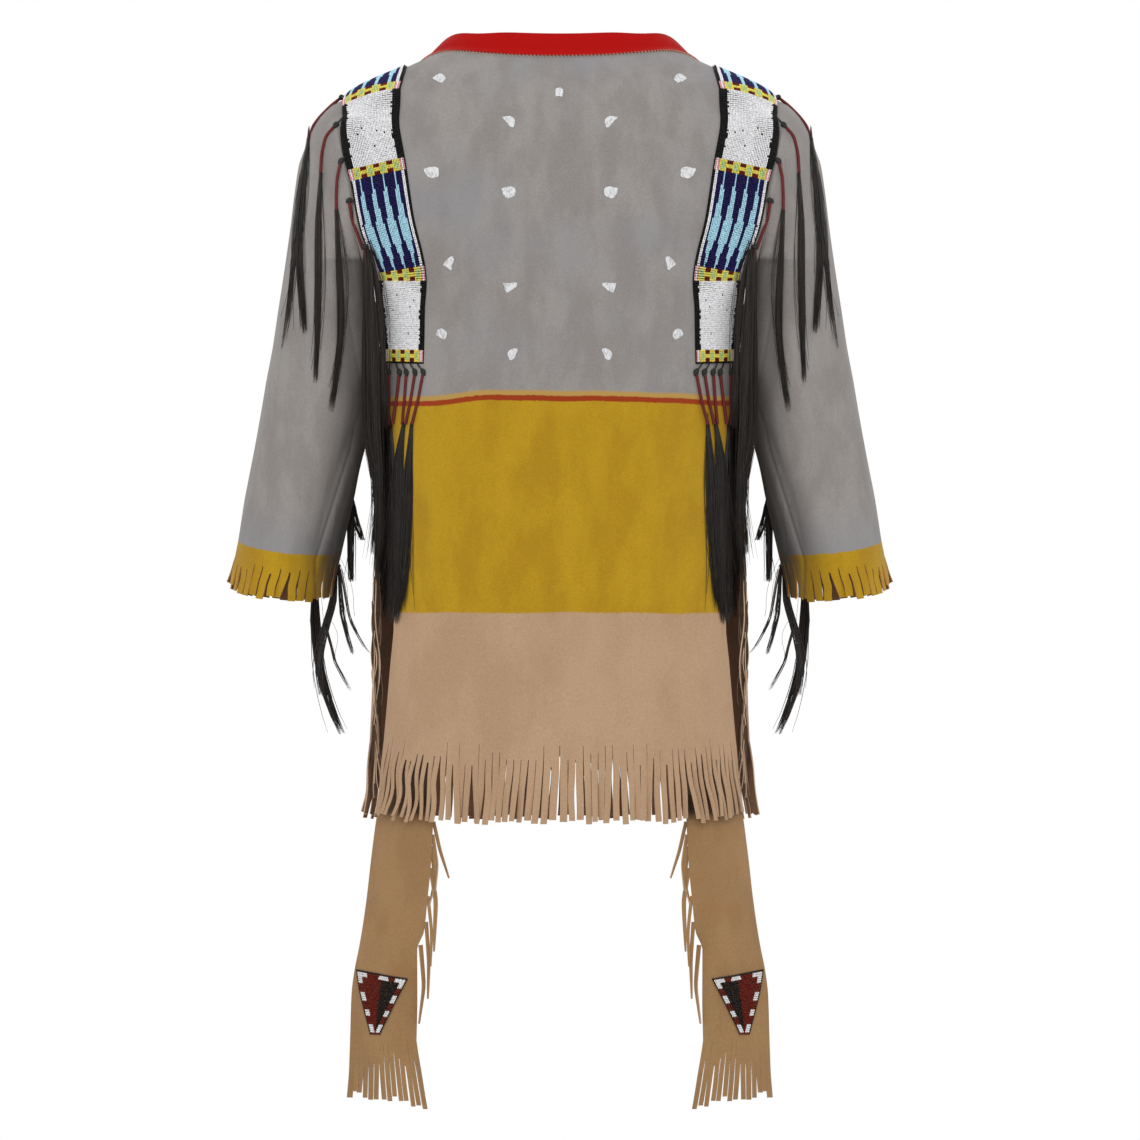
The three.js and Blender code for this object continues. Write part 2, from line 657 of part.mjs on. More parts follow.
/** How far out along `normal` the meshes' outer face lies from a point. */
function coverAt(point, normal, meshes) {
  const reach = 10;
  const ray = new THREE.Raycaster(
    point.clone().addScaledVector(normal, reach),
    normal.clone().negate(),
    0,
    2 * reach,
  );
  const hit = ray.intersectObjects(meshes, false)[0];
  return hit ? reach - hit.distance : null;
}

/** Moves a grid's points out until its flat cells clear the meshes under it by the seam gap. */
function laidOn(meshes, grid, normals) {
  const out = grid.map((row, r) =>
    row.map((p, c) => {
      const cover = coverAt(p, normals[r][c], meshes);
      return p.clone().addScaledVector(normals[r][c], (cover ?? HIDE) + SEAM);
    }),
  );
  const shares = [0, 0.2, 0.4, 0.6, 0.8, 1];
  for (let pass = 0; pass < 4; pass++)
    for (let r = 0; r < out.length - 1; r++)
      for (let c = 0; c < out[0].length - 1; c++) {
        const corners = [out[r][c], out[r][c + 1], out[r + 1][c + 1], out[r + 1][c]];
        const normal = normals[r][c].clone().add(normals[r + 1][c + 1]).normalize();
        const [a, b, d, e] = corners;
        const samples = shares.flatMap((t) => [
          a.clone().lerp(b, t),
          a.clone().lerp(e, t),
          a.clone().lerp(d, t),
          b.clone().lerp(d, t),
          b.clone().lerp(e, t),
          e.clone().lerp(d, t),
        ]);
        const short = Math.max(...samples.map((p) => (coverAt(p, normal, meshes) ?? -SEAM) + SEAM));
        if (short > 0) corners.forEach((p) => p.addScaledVector(normal, short));
      }
  return out;
}

function strip() {
  const places = Array.from({ length: STRIP_ROWS + 1 }, (_, r) =>
    Array.from({ length: STRIP_COLUMNS + 1 }, (_, c) =>
      stripPlace(
        mix(-STRIP_BACK_LENGTH, STRIP_BACK_LENGTH, r / STRIP_ROWS),
        mix(-STRIP_WIDTH / 2, STRIP_WIDTH / 2, c / STRIP_COLUMNS),
      ),
    ),
  );
  const normals = places.map((row) => row.map(({ normal }) => normal));
  const grid = laidOn([...hides, ...sleeves], places.map((row) => row.map(({ p }) => p)), normals);
  return wallOf(grid, normals, STRIP_WALL);
}
const strips = addPair("bead_strip", strip(), seedBeads);

// ---- fringes cut in the hides' ends ----
function hemPlaces(side) {
  const bottom = SIDE_ROWS.at(-1);
  const at = (share, drop) => {
    const spread = Math.sign(share) * Math.abs(share) ** COLUMN_SPREAD;
    const z = rowHeight(side, bottom, Math.abs(share)) + drop;
    return bodyPoint(side, spread * edgeDegrees(side, bottom), z);
  };
  return Array.from({ length: HEM_STRANDS }, (_, i) => {
    const share = (2 * i + 1) / HEM_STRANDS - 1;
    const [before, after] = [at(share - 1 / HEM_STRANDS, 0), at(share + 1 / HEM_STRANDS, 0)];
    const step = after.clone().sub(before);
    const root = before.lerp(after, 0.5).add(vec(0, 0, -2 * SEAM));
    const end = mix(HEM_END.middle, HEM_END.side, share ** 6) + 2 * wave(i, 2.3);
    const normal = bodyNormal(root).setZ(0).normalize();
    const below = at(share, -HEM_REACH);
    const down = below.sub(at(share, 0)).normalize();
    return strand({ root, step, normal, down, length: root.z - end, sway: 0.7 * wave(i, 1.7) });
  });
}

/** A comb's strand: `step` is the pitch along the line, and the strand leaves a slit of it free. */
function strand({ root, step, normal, down, length, sway }) {
  const width = step.length() * STRAND_SHARE;
  return { root, side: step.clone().normalize(), normal, down, width, length, sway, taper: 0.88 };
}
const fringe = (places, segments) => combOf(places, FRINGE_WALL, FRINGE_BAND, segments);
add("back_hem_fringe", fringe(hemPlaces(BACK), 1), bareHide);
add("front_hem_fringe", fringe(hemPlaces(FRONT), 1), bareHide);

function cuffPlaces() {
  const [above, ring] = SLEEVE.slice(-2);
  return Array.from({ length: CUFF_STRANDS }, (_, i) => {
    const turn = ((i + 0.5) / CUFF_STRANDS) * 2 * Math.PI;
    const half = Math.PI / CUFF_STRANDS;
    const [before, after] = [sleevePoint(ring, turn - half), sleevePoint(ring, turn + half)];
    const step = after.clone().sub(before);
    const root = before.lerp(after, 0.5);
    const down = root.clone().sub(sleevePoint(above, turn)).normalize();
    const normal = step.clone().cross(down).normalize();
    normal.multiplyScalar(Math.sign(normal.dot(vec(Math.cos(turn), -Math.sin(turn), 0))));
    root.addScaledVector(down, 3 * SEAM);
    const length = CUFF_FRINGE_LENGTH + 1.5 * wave(i, 2.1) - 3 * Math.cos(turn) ** 2;
    return strand({ root, step, normal, down, length, sway: 0.5 * wave(i, 1.3) });
  });
}
addPair("cuff_fringe", fringe(cuffPlaces(), 1), ochreHide);

// ---- the hide's legs below the back hem ----
/** The leg's point at a share of its width from the outer edge, on the side that faces forward. */
function legPoint(share, z) {
  const x = mix(column(LEG, "outer", z), column(LEG, "inner", z), share);
  const lying = bodyPointAt(BACK, x, z);
  lying.addScaledVector(bodyNormal(lying), -(LEG_WALL + 2 * SEAM));
  if (z > LEG_LIES_TO) return lying;
  const depth = mix(column(LEG, "outerDepth", z), column(LEG, "innerDepth", z), share);
  const hanging = vec(x, -depth - LEG_CROWN * 4 * share * (1 - share), z);
  const free = THREE.MathUtils.smoothstep(-z, -LEG_LIES_TO, -LEG_HANGS_FROM);
  return lying.lerp(hanging, free);
}

const legGrid = LEG.map(({ z }) =>
  Array.from({ length: LEG_COLUMNS + 1 }, (_, c) => legPoint(c / LEG_COLUMNS, z)),
);
const legNormals = normalsFacing(legGrid, false, vec(0, BACK, 0));
const legs = addPair("hide_leg", wallOf(legGrid, legNormals, LEG_WALL), bareHide);

function legPlaces() {
  const { z } = LEG.at(-1);
  const half = 0.5 / LEG_STRANDS;
  return Array.from({ length: LEG_STRANDS }, (_, i) => {
    const share = (i + 0.5) / LEG_STRANDS;
    const [before, after] = [legPoint(share - half, z), legPoint(share + half, z)];
    const step = after.clone().sub(before);
    const normal = vec(step.y, -step.x, 0).normalize();
    normal.multiplyScalar(Math.sign(-normal.y));
    const root = before.lerp(after, 0.5).add(vec(0, 0, -2 * SEAM));
    const down = vec(mix(0.03, -0.14, share), 0, -1).normalize();
    const length = root.z - mix(LEG_END.outer, LEG_END.inner, share) + 2 * wave(i, 1.9);
    return strand({ root, step, normal, down, length, sway: 0.8 * wave(i, 2.4) });
  });
}
addPair("leg_fringe", fringe(legPlaces(), 1), bareHide);

// ---- the beaded three-cornered patch on each leg ----
function patch() {
  const rows = 4;
  const columns = 3;
  const places = Array.from({ length: rows + 1 }, (_, r) =>
    Array.from({ length: columns + 1 }, (_, c) => {
      const [near, far] = [0, 1].map((k) => mix(PATCH_TOP_SPAN[k], PATCH_TIP_SPAN[k], r / rows));
      return legPoint(mix(near, far, c / columns), mix(PATCH_TOP, PATCH_BOTTOM, r / rows));
    }),
  );
  const normals = normalsFacing(places, false, vec(0, BACK, 0));
  return wallOf(laidOn(legs, places, normals), normals, PATCH_WALL);
}
addPair("bead_patch", patch(), seedBeads);

// ---- hair locks ----
/** A place laid `lift` clear of the outermost piece at x and z, seen from the back or the front. */
function laidPlace(side, x, z, lift) {
  const far = 400;
  const ray = new THREE.Raycaster(vec(x, side * far, z), vec(0, -side, 0));
  const hit = ray.intersectObjects([side === BACK ? hides[0] : hides[1], ...sleeves, ...strips], false)[0];
  return hit ? hit.point.clone().addScaledVector(hit.face.normal, lift) : null;
}

/** A line of places in the X-Z plane laid over what is under it; past an edge it hangs straight down. */
function laidOver(side, places, start, lift) {
  let y = start.y;
  return places.map(({ x, z }) => {
    const laid = laidPlace(side, x, z, lift);
    if (laid) y = laid.y;
    return laid ?? vec(x, y, z);
  });
}

/** A lock's solid: root, knot, stem and hair. */
function lock(side, root, { knot, stem, bend, tip }) {
  const lift = KNOT_RADIUS + LOCK_CLEARANCE;
  const between = (a, b, t) => ({ x: mix(a.x, b.x, t), z: mix(a.z, b.z, t) });
  const hair = bend ? [bend] : [between(stem, tip, 0.3), between(stem, tip, 0.65)];
  const line = [root, ...laidOver(side, [knot, between(knot, stem, 0.5), stem, ...hair, tip], root, lift)];
  const radii = [BINDING_RADIUS * 0.8, KNOT_RADIUS, STEM_RADIUS, STEM_RADIUS, ...hair.map(() => HAIR_RADIUS)];
  return tubeOf(line, [...radii, HAIR_TIP_RADIUS]);
}

/** A binding cord with its locks or strands fused to it. */
function bound(line, strands) {
  return joined([tubeOf(line, line.map(() => BINDING_RADIUS)), ...strands]);
}

/** A place on the strip or on the hide next to it, `lift` clear of what is there. */
function onStrip(along, across, lift) {
  const { p, normal } = stripPlace(along, across);
  const cover = coverAt(p, normal, [...hides, ...strips, ...sleeves]) ?? HIDE;
  return p.addScaledVector(normal, cover + lift);
}
const edgeLift = BINDING_RADIUS + 6 * SEAM; // over the strip's rounded edge
const seatLift = BINDING_RADIUS + 2.5 * SEAM; // on the smooth hide

function edgeLocks(side, rows) {
  const edge = STRIP_WIDTH / 2 - BINDING_INSET;
  const last = rows.at(-1).along + 4;
  const pieces = 14;
  const binding = Array.from({ length: pieces + 1 }, (_, i) =>
    onStrip(side * mix(6, last, i / pieces), edge, edgeLift),
  );
  const locks = rows.map((row) =>
    lock(side, onStrip(side * row.along, edge, edgeLift + BINDING_RADIUS / 2), {
      knot: { x: row.knotX, z: row.knotZ },
      stem: { x: row.stemX, z: row.stemZ },
      tip: { x: row.tipX, z: row.tipZ },
    }),
  );
  return bound(binding, locks);
}
addPair("edge_locks_back", edgeLocks(BACK, EDGE_LOCKS), darkHair);
addPair("edge_locks_front", edgeLocks(FRONT, EDGE_LOCKS.slice(0, FRONT_EDGE_LOCKS)), darkHair);

function endLocks(side) {
  const along = side * (STRIP_BACK_LENGTH + BINDING_RADIUS + 2 * SEAM);
  const half = STRIP_WIDTH / 2;
  const binding = [-1, -0.5, 0, 0.5, 1].map((share) => onStrip(along, share * half, seatLift));
  const locks = END_LOCKS.map((row) => {
    const root = onStrip(along, row.across, seatLift);
    return lock(side, root, {
      knot: { x: root.x, z: END_KNOT_Z },
      stem: { x: row.stemX, z: END_STEM_Z },
      tip: { x: row.tipX, z: END_TIP_Z },
    });
  });
  return bound(binding, locks);
}
addPair("end_locks_back", endLocks(BACK), darkHair);
addPair("end_locks_front", endLocks(FRONT), darkHair);

function sleeveLocks() {
  const at = (x, z) => laidPlace(FRONT, x, z, seatLift);
  const [first, last] = [SLEEVE_LOCKS[0], SLEEVE_LOCKS.at(-1)];
  const binding = [-0.15, 0.4, 0.8, 1.15].map((t) => at(mix(first.rootX, last.rootX, t), first.rootZ));
  const locks = SLEEVE_LOCKS.map((row) =>
    lock(FRONT, at(row.rootX, row.rootZ), {
      knot: { x: row.rootX, z: row.rootZ - 10 },
      stem: { x: row.stemX, z: row.stemZ },
      bend: { x: row.bendX, z: row.bendZ },
      tip: { x: row.tipX, z: row.tipZ },
    }),
  );
  return bound(binding, locks);
}
addPair("sleeve_locks", sleeveLocks(), darkHair);

// ---- loose strands of hide along an edge ----
/** Strands that start at an edge's line and hang down in lanes that lie `outward` of it. */
function edgeStrands(edgeAt, rows, outward, top, bottom) {
  const binding = Array.from({ length: 5 }, (_, i) => edgeAt(mix(top, bottom, i / 4)));
  const strands = rows.map((row) => {
    const root = edgeAt(row.z);
    const away = outward.clone().multiplyScalar(BINDING_RADIUS + STRAND_RADIUS + row.lane * LANE_PITCH);
    const turn = root.clone().add(away).add(vec(0, 0, -6));
    const end = turn.clone().add(vec(0, 0, 6 - row.length));
    return tubeOf([root, turn, end], [STRAND_RADIUS * 0.6, STRAND_RADIUS, STRAND_RADIUS * 0.7]);
  });
  return bound(binding, strands);
}

function sideStrands() {
  const edge = (z) => {
    const p = bodyPoint(FRONT, edgeDegrees(FRONT, z), z);
    return p.add(vec(0, -(BINDING_RADIUS + 2 * SEAM), 0));
  };
  return edgeStrands(edge, SIDE_STRANDS, vec(0.25, -1, 0).normalize(), SIDE_BINDING_TOP, SIDE_ROWS.at(-1));
}
addPair("side_fringe", sideStrands(), bareHide);

function legSideStrands() {
  const edge = (z) => legPoint(1, z).add(vec(-(BINDING_RADIUS + 3 * SEAM), -LEG_WALL / 2, 0));
  const [first, last] = [LEG_SIDE_STRANDS[0], LEG_SIDE_STRANDS.at(-1)];
  return edgeStrands(edge, LEG_SIDE_STRANDS, vec(-1, 0, 0), first.z + 8, last.z - 8);
}
addPair("leg_side_fringe", legSideStrands(), bareHide);

export default shirt;
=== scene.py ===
# %% [markdown]
# # A painted hide war shirt
#
# A shirt of two whole hides, filled out as if worn: painted blue-grey above, yellow below, bare at the hem.
# Two beaded strips run over the shoulders, dark hair locks hang from their edges, and every cut edge ends in
# fringe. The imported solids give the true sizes. This script lays finer cloth, beads and hair where those
# solids are.

# %% Load the fixed frame
import math

import bpy
import numpy as np
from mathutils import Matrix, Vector
from mathutils.bvhtree import BVHTree


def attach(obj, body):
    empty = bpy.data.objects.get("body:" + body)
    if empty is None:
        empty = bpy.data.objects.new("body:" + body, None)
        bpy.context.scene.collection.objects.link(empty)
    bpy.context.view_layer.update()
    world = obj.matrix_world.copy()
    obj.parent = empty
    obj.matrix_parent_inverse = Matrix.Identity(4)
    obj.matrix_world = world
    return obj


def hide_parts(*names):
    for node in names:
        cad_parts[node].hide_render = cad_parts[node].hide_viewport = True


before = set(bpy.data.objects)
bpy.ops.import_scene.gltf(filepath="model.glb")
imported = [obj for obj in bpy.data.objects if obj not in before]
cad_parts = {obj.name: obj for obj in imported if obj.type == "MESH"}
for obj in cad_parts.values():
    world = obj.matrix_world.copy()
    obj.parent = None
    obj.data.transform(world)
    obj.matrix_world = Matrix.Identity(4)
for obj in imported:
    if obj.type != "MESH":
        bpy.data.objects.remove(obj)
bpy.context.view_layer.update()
MM = 0.001  # sizes below are in millimetres, as a maker states them; Blender's unit is the metre
rng = np.random.default_rng(7)

# %% [markdown]
# ## The camera
#
# Clothes are often shown by a long lens from far off, level with the middle of the garment, so that the near
# hem and the far collar keep one scale. A short lens close by would swell the chest. The lens follows from
# the width that has to be in view and the distance, so only those two are chosen.

# %% Camera
VIEW_WIDTH = 1231  # width of the view at the back hide, in mm
VIEW_CENTRE = (11, -60, -551)
CAMERA_DISTANCE = 12000
SENSOR = 36

camera = bpy.data.objects.new("camera", bpy.data.cameras.new("camera"))
bpy.context.scene.collection.objects.link(camera)
camera.data.sensor_width = SENSOR
camera.data.lens = SENSOR * CAMERA_DISTANCE / VIEW_WIDTH
camera.location = Vector((VIEW_CENTRE[0], VIEW_CENTRE[1] - CAMERA_DISTANCE, VIEW_CENTRE[2])) * MM
camera.rotation_euler = (math.radians(90), 0, 0)
bpy.context.scene.camera = camera
print("lens in mm:", round(camera.data.lens))

# %% [markdown]
# ## Light and floor
#
# A white studio lights a garment from all sides, which keeps the paint's own colour. One large soft lamp high
# in front adds the slow shading that shows the form. The view transform is Standard, since a film-like one
# would grey the white. The floor lies well below the hem: the shirt is held at its shoulders, as on a wearer.

# %% Light and floor
FLOOR_HEIGHT = -1450
world = bpy.data.worlds.new("studio")
bpy.context.scene.world = world
world.use_nodes = True
world.node_tree.nodes["Background"].inputs["Color"].default_value = (1, 1, 1, 1)
world.node_tree.nodes["Background"].inputs["Strength"].default_value = 1.0
bpy.context.scene.view_settings.view_transform = "Standard"


def soft_lamp(name, place, size, watts):
    """A square lamp at a place in metres, aimed at the middle of the shirt."""
    lamp = bpy.data.objects.new(name, bpy.data.lights.new(name, "AREA"))
    lamp.data.size = size
    lamp.data.energy = watts
    lamp.location = place
    lamp.rotation_euler = (Vector(VIEW_CENTRE) * MM - lamp.location).to_track_quat("-Z", "Y").to_euler()
    bpy.context.scene.collection.objects.link(lamp)


soft_lamp("key_lamp", (0.0, -3.6, 1.9), 1.8, 35)
print("floor height in mm:", FLOOR_HEIGHT)

# %% [markdown]
# ## Colour and nodes
#
# A dye or a paint is matched by eye as an sRGB value, and a shader works with linear light, so one function
# turns the first into the second. One more adds a node with its settings and its links, and every material
# uses it.

# %% Helpers for materials
SMOOTH = {"interpolation_type": "SMOOTHSTEP"}
COLOURS = {"data_type": "RGBA", "out": 2}  # a mix of two colours, and the output that holds it


def linear(code, alpha=1.0):
    """An sRGB hex code as linear red, green, blue and alpha."""
    parts = [int(code[i : i + 2], 16) / 255 for i in (1, 3, 5)]
    return tuple(c / 12.92 if c <= 0.04045 else ((c + 0.055) / 1.055) ** 2.4 for c in parts) + (alpha,)


def add_node(tree, kind, inputs=(), out=0, **settings):
    """Adds a node, sets it, fills its inputs with values or other nodes' outputs, and returns one output."""
    node = tree.nodes.new("ShaderNode" + kind)
    for name, value in settings.items():
        setattr(node, name, value)
    for socket, value in inputs.items() if isinstance(inputs, dict) else enumerate(inputs):
        if isinstance(value, bpy.types.NodeSocket):
            tree.links.new(value, node.inputs[socket])
        else:
            node.inputs[socket].default_value = value
    return node.outputs[out]


def new_material(name, colour_of=None, height_of=None, bump=(0.35, 0.6), **shader):
    """A material with uniform values, and with colour and relief that functions make from coordinates."""
    material = bpy.data.materials.new(name)
    material.use_nodes = True
    tree = material.node_tree
    surface = tree.nodes["Principled BSDF"]
    for socket, value in shader.items():
        surface.inputs[socket.replace("_", " ")].default_value = value
    place = add_node(tree, "TexCoord", out="Object")
    if colour_of:
        tree.links.new(colour_of(tree, place), surface.inputs["Base Color"])
    if height_of:
        relief = {"Height": height_of(tree, place), "Strength": bump[0], "Distance": bump[1] * MM}
        tree.links.new(add_node(tree, "Bump", relief), surface.inputs["Normal"])
    return material


def grain(tree, place, layers, total=0.0):
    """A total plus layers of noise, each with its size in mm, its detail and its weight."""
    for size, detail, weight in layers:
        sizes = {"Vector": place, "Scale": 1 / (size * MM), "Detail": detail, "Roughness": 0.55}
        layer = add_node(tree, "TexNoise", sizes)
        total = add_node(tree, "Math", (layer, weight, total), operation="MULTIPLY_ADD")
    return total


def patches(tree, place, size, detail, low, high, least=0.0, most=1.0):
    """Patches of a size in mm: noise taken smoothly from one range to another."""
    noise = grain(tree, place, [(size, detail, 1)])
    return add_node(tree, "MapRange", (noise, low, high, least, most), **SMOOTH)


def tinted(tree, colour, tone):
    """A colour made darker or lighter by a number."""
    tint = add_node(tree, "CombineColor", (tone, tone, tone))
    return add_node(tree, "Mix", {0: 1, 6: colour, 7: tint}, blend_type="MULTIPLY", **COLOURS)


print("middle grey as linear light:", round(linear("#808080")[0], 3))

# %% [markdown]
# ## Brain-tanned hide and earth paint
#
# The real piece is buckskin: deer hide scraped on both sides, worked soft with brains and smoked. It has no
# grain, only a short nap like suede, so it is quite rough (0.9), hardly reflects, and catches a faint sheen
# at its edges. Earth paint is rubbed in dry with glue size: blue-grey clay above, yellow ochre below, and a
# line of red ochre between. Rubbed paint is uneven in clouds a few centimetres wide. Each hide takes its
# paint from height, with a slow waver, because the maker rubbed it along a stick. The nap's tufts are near
# 0.5 mm; they are drawn at 1.4 mm, which is as fine as a whole view can show.

# %% Hide materials
GREY_CLAY = "#837e7b"
GREY_CLAY_WORN = "#918d8a"
GREY_CLAY_BLUE = "#84848a"
PALE_OCHRE = "#aa8746"
RED_OCHRE = "#8e3000"
YELLOW_OCHRE = "#ac870d"
YELLOW_OCHRE_DEEP = "#9d7606"
BUCKSKIN = "#ae8f72"
BUCKSKIN_DARK = "#9c7c5f"
LEG_SKIN, LEG_SKIN_DARK, LEG_STAIN = "#97754f", "#886846", "#94683c"
UNDER_ARM_SHADE_TONE = "#3a2e26"  # painted shade under the arm, multiplied into the sleeve's colour
# painted shade on the legs where the hem hangs over them
HEM_SHADE_TONE = "#3c291c"
BAND_TOP = -358.5  # heights of the paint's edges, in mm
LINE_TOP = -363.6
LINE_BOTTOM = -369.2
YELLOW_BOTTOM = -597.5
LINE_DIP = 4.2  # how much lower the line is at the sides
DIP_FROM, DIP_TO = 75, 145  # mm from the centre line
HEM_COVERS = -812  # above this the hem hangs over the legs
BODY_WAVER = [(90, 1, 7 * MM), (5, 3, 2.2 * MM)]  # slow and quick waver of the paint's edges
CUFF_WAVER = [(9, 3, 4 * MM)]
CUFF_PAINT = 18  # how far the cuff's ochre reaches up, in mm
FOLD_TOP, FOLD_BOTTOM, FOLD_INNER, FOLD_SPAN = -200, -540, 180, 100
UNDER_ARM_FOLD = [  # x and z of the fold's edge, in mm
    (180, -200), (184, -212), (241, -216.5), (232, -259), (213, -367), (223, -394), (228, -421), (265, -540),
]
SHADE_BEFORE, SHADE_BEHIND = -50, 25  # where the painted shade starts and is deepest, in mm past the fold
UNDER_ARM_TONES = [  # share of that way, and how deep the painted shade is
    (0.0, 0.0), (0.24, 0.05), (0.413, 0.22), (0.533, 0.36), (0.627, 0.48), (0.667, 0.7), (0.7, 0.38),
    (0.753, 0.6), (0.8, 0.75), (0.927, 0.96),
]
NAP = 1.4
HIDE_SHADER = {
    "Roughness": 0.92, "IOR": 1.5, "Specular_IOR_Level": 0.25, "Sheen_Weight": 0.08, "Sheen_Roughness": 0.6,
}


def nap(tree, place):
    """Short tufts over slow unevenness of the skin."""
    return grain(tree, place, [(NAP, 4, 0.5), (14, 2, 1.2)])


def clouded(tree, place, plain, worn, size=46, share=0.75):
    """One paint with clouds of a second tone, and the nap's own light and dark."""
    rubbed = add_node(tree, "Mapping", {"Vector": place, "Scale": (1.6, 1.6, 0.7)})
    clouds = patches(tree, rubbed, size, 6, 0.36, 0.66, 0, share)
    toned = add_node(tree, "Mix", {0: clouds, 6: linear(plain), 7: linear(worn)}, **COLOURS)
    return tinted(tree, toned, patches(tree, place, NAP * 1.3, 3, 0.3, 0.7, 0.92, 1.07))


def wavered(tree, place, value, layers):
    """A value that wavers about its own level by the weights of some layers of grain."""
    middle = sum(weight for _, _, weight in layers) / 2
    return grain(tree, place, layers, add_node(tree, "Math", (value, middle), operation="SUBTRACT"))


# %% Paint of the body, the sleeves and the legs


def body_paint(tree, place):
    """The two body hides: painted bands by height."""
    axes = add_node(tree, "SeparateXYZ", (place,)).node.outputs
    off_centre = add_node(tree, "Math", (axes[0],), operation="ABSOLUTE")
    dip = add_node(tree, "MapRange", (off_centre, DIP_FROM * MM, DIP_TO * MM, 0, LINE_DIP * MM), **SMOOTH)
    edge = wavered(tree, place, axes[2], BODY_WAVER)
    line = add_node(tree, "Math", (edge, dip), operation="ADD")
    blued = patches(tree, place, 130, 2, 0.45, 0.7, 0, 0.55)
    grey = clouded(tree, place, GREY_CLAY, GREY_CLAY_WORN)
    colour = add_node(tree, "Mix", {0: blued, 6: grey, 7: linear(GREY_CLAY_BLUE)}, **COLOURS)
    bands = [
        (line, BAND_TOP, 1.6, linear(PALE_OCHRE)),
        (line, LINE_TOP, 0.7, linear(RED_OCHRE)),
        (line, LINE_BOTTOM, 0.7, clouded(tree, place, YELLOW_OCHRE, YELLOW_OCHRE_DEEP, 60)),
        (edge, YELLOW_BOTTOM, 0.9, clouded(tree, place, BUCKSKIN, BUCKSKIN_DARK, 70, 0.45)),
    ]
    for height, level, soft, paint in bands:
        below = add_node(tree, "MapRange", (height, (level - soft) * MM, (level + soft) * MM, 1, 0), **SMOOTH)
        colour = add_node(tree, "Mix", {0: below, 6: colour, 7: paint}, **COLOURS)
    return colour


def under_arm_shade(tree, place):
    """How much painted shade a sleeve gets: it starts before the fold under the arm and deepens behind it."""
    axes = add_node(tree, "SeparateXYZ", (place,)).node.outputs
    across = add_node(tree, "Math", (axes[0],), operation="ABSOLUTE")
    down = add_node(tree, "MapRange", (axes[2], FOLD_TOP * MM, FOLD_BOTTOM * MM))
    fold = add_node(tree, "FloatCurve", {"Value": down})
    curve = fold.node.mapping.curves[0]
    height = FOLD_BOTTOM - FOLD_TOP
    points = [((z - FOLD_TOP) / height, (x - FOLD_INNER) / FOLD_SPAN) for x, z in UNDER_ARM_FOLD]
    curve.points[0].location, curve.points[-1].location = points[0], points[-1]
    for point in points[1:-1]:
        curve.points.new(*point)
    for point in curve.points:
        point.handle_type = "VECTOR"
    fold.node.mapping.update()
    ridge = add_node(tree, "Math", (fold, FOLD_SPAN * MM, FOLD_INNER * MM), operation="MULTIPLY_ADD")
    past = add_node(tree, "Math", (ridge, across), operation="SUBTRACT")
    behind = add_node(tree, "MapRange", (past, SHADE_BEFORE * MM, SHADE_BEHIND * MM))
    tone = add_node(tree, "ValToRGB", (behind,))
    stops = tone.node.color_ramp.elements
    stops[0].position, stops[1].position = UNDER_ARM_TONES[0][0], UNDER_ARM_TONES[-1][0]
    for position, _ in UNDER_ARM_TONES[1:-1]:
        stops.new(position)
    for stop, (_, level) in zip(stops, UNDER_ARM_TONES):
        stop.color = (level, level, level, 1)
    lower = add_node(tree, "MapRange", (axes[2], -340 * MM, -440 * MM, 0.55, 1), **SMOOTH)
    return add_node(tree, "Math", (tone, lower), operation="MULTIPLY")


def sleeve_paint(tree, place):
    """The sleeve: grey clay, bluer towards the cuff, and yellow ochre at the cuff itself."""
    distance = add_node(tree, "Attribute", out="Fac", attribute_name="cuff_distance")
    reach = wavered(tree, place, distance, CUFF_WAVER)
    grey = clouded(tree, place, GREY_CLAY, GREY_CLAY_WORN)
    yellow = clouded(tree, place, YELLOW_OCHRE, YELLOW_OCHRE_DEEP, 40)
    blued = add_node(tree, "MapRange", (reach, CUFF_PAINT * MM, 75 * MM, 0.45, 0), **SMOOTH)
    grey = add_node(tree, "Mix", {0: blued, 6: grey, 7: linear(GREY_CLAY_BLUE)}, **COLOURS)
    cuff = add_node(tree, "MapRange", (reach, (CUFF_PAINT - 1.5) * MM, CUFF_PAINT * MM, 1, 0), **SMOOTH)
    colour = add_node(tree, "Mix", {0: cuff, 6: grey, 7: yellow}, **COLOURS)
    # painted shade under the arm, deepest behind the fold and lower down
    shaded = add_node(tree, "Mix", {0: 1, 6: colour, 7: linear(UNDER_ARM_SHADE_TONE)}, blend_type="MULTIPLY", **COLOURS)
    return add_node(tree, "Mix", {0: under_arm_shade(tree, place), 6: colour, 7: shaded}, **COLOURS)


def leg_tones(tree, place):
    """The legs: smoke-tanned hide, with painted shade where the hem hangs over it."""
    height = add_node(tree, "SeparateXYZ", (place,), "Z")
    shade_from, shade_to = (HEM_COVERS - 7) * MM, (HEM_COVERS + 2) * MM
    # painted shade above the hem's line, where the hem hangs over the leg
    hem_shade = add_node(tree, "MapRange", (height, shade_from, shade_to, 0, 0.85), **SMOOTH)
    stained = patches(tree, place, 34, 3, 0.5, 0.75, 0, 0.5)
    skin = clouded(tree, place, LEG_SKIN, LEG_SKIN_DARK, 55, 0.6)
    skin = add_node(tree, "Mix", {0: stained, 6: skin, 7: linear(LEG_STAIN)}, **COLOURS)
    return add_node(tree, "Mix", {0: hem_shade, 6: skin, 7: linear(HEM_SHADE_TONE)}, **COLOURS)


# %% The hides' materials


def plain_hide(name, plain, worn):
    """Unpainted hide, in its own tones."""
    colour = lambda tree, place: clouded(tree, place, plain, worn, 55, 0.6)
    return new_material(name, colour, nap, **HIDE_SHADER)


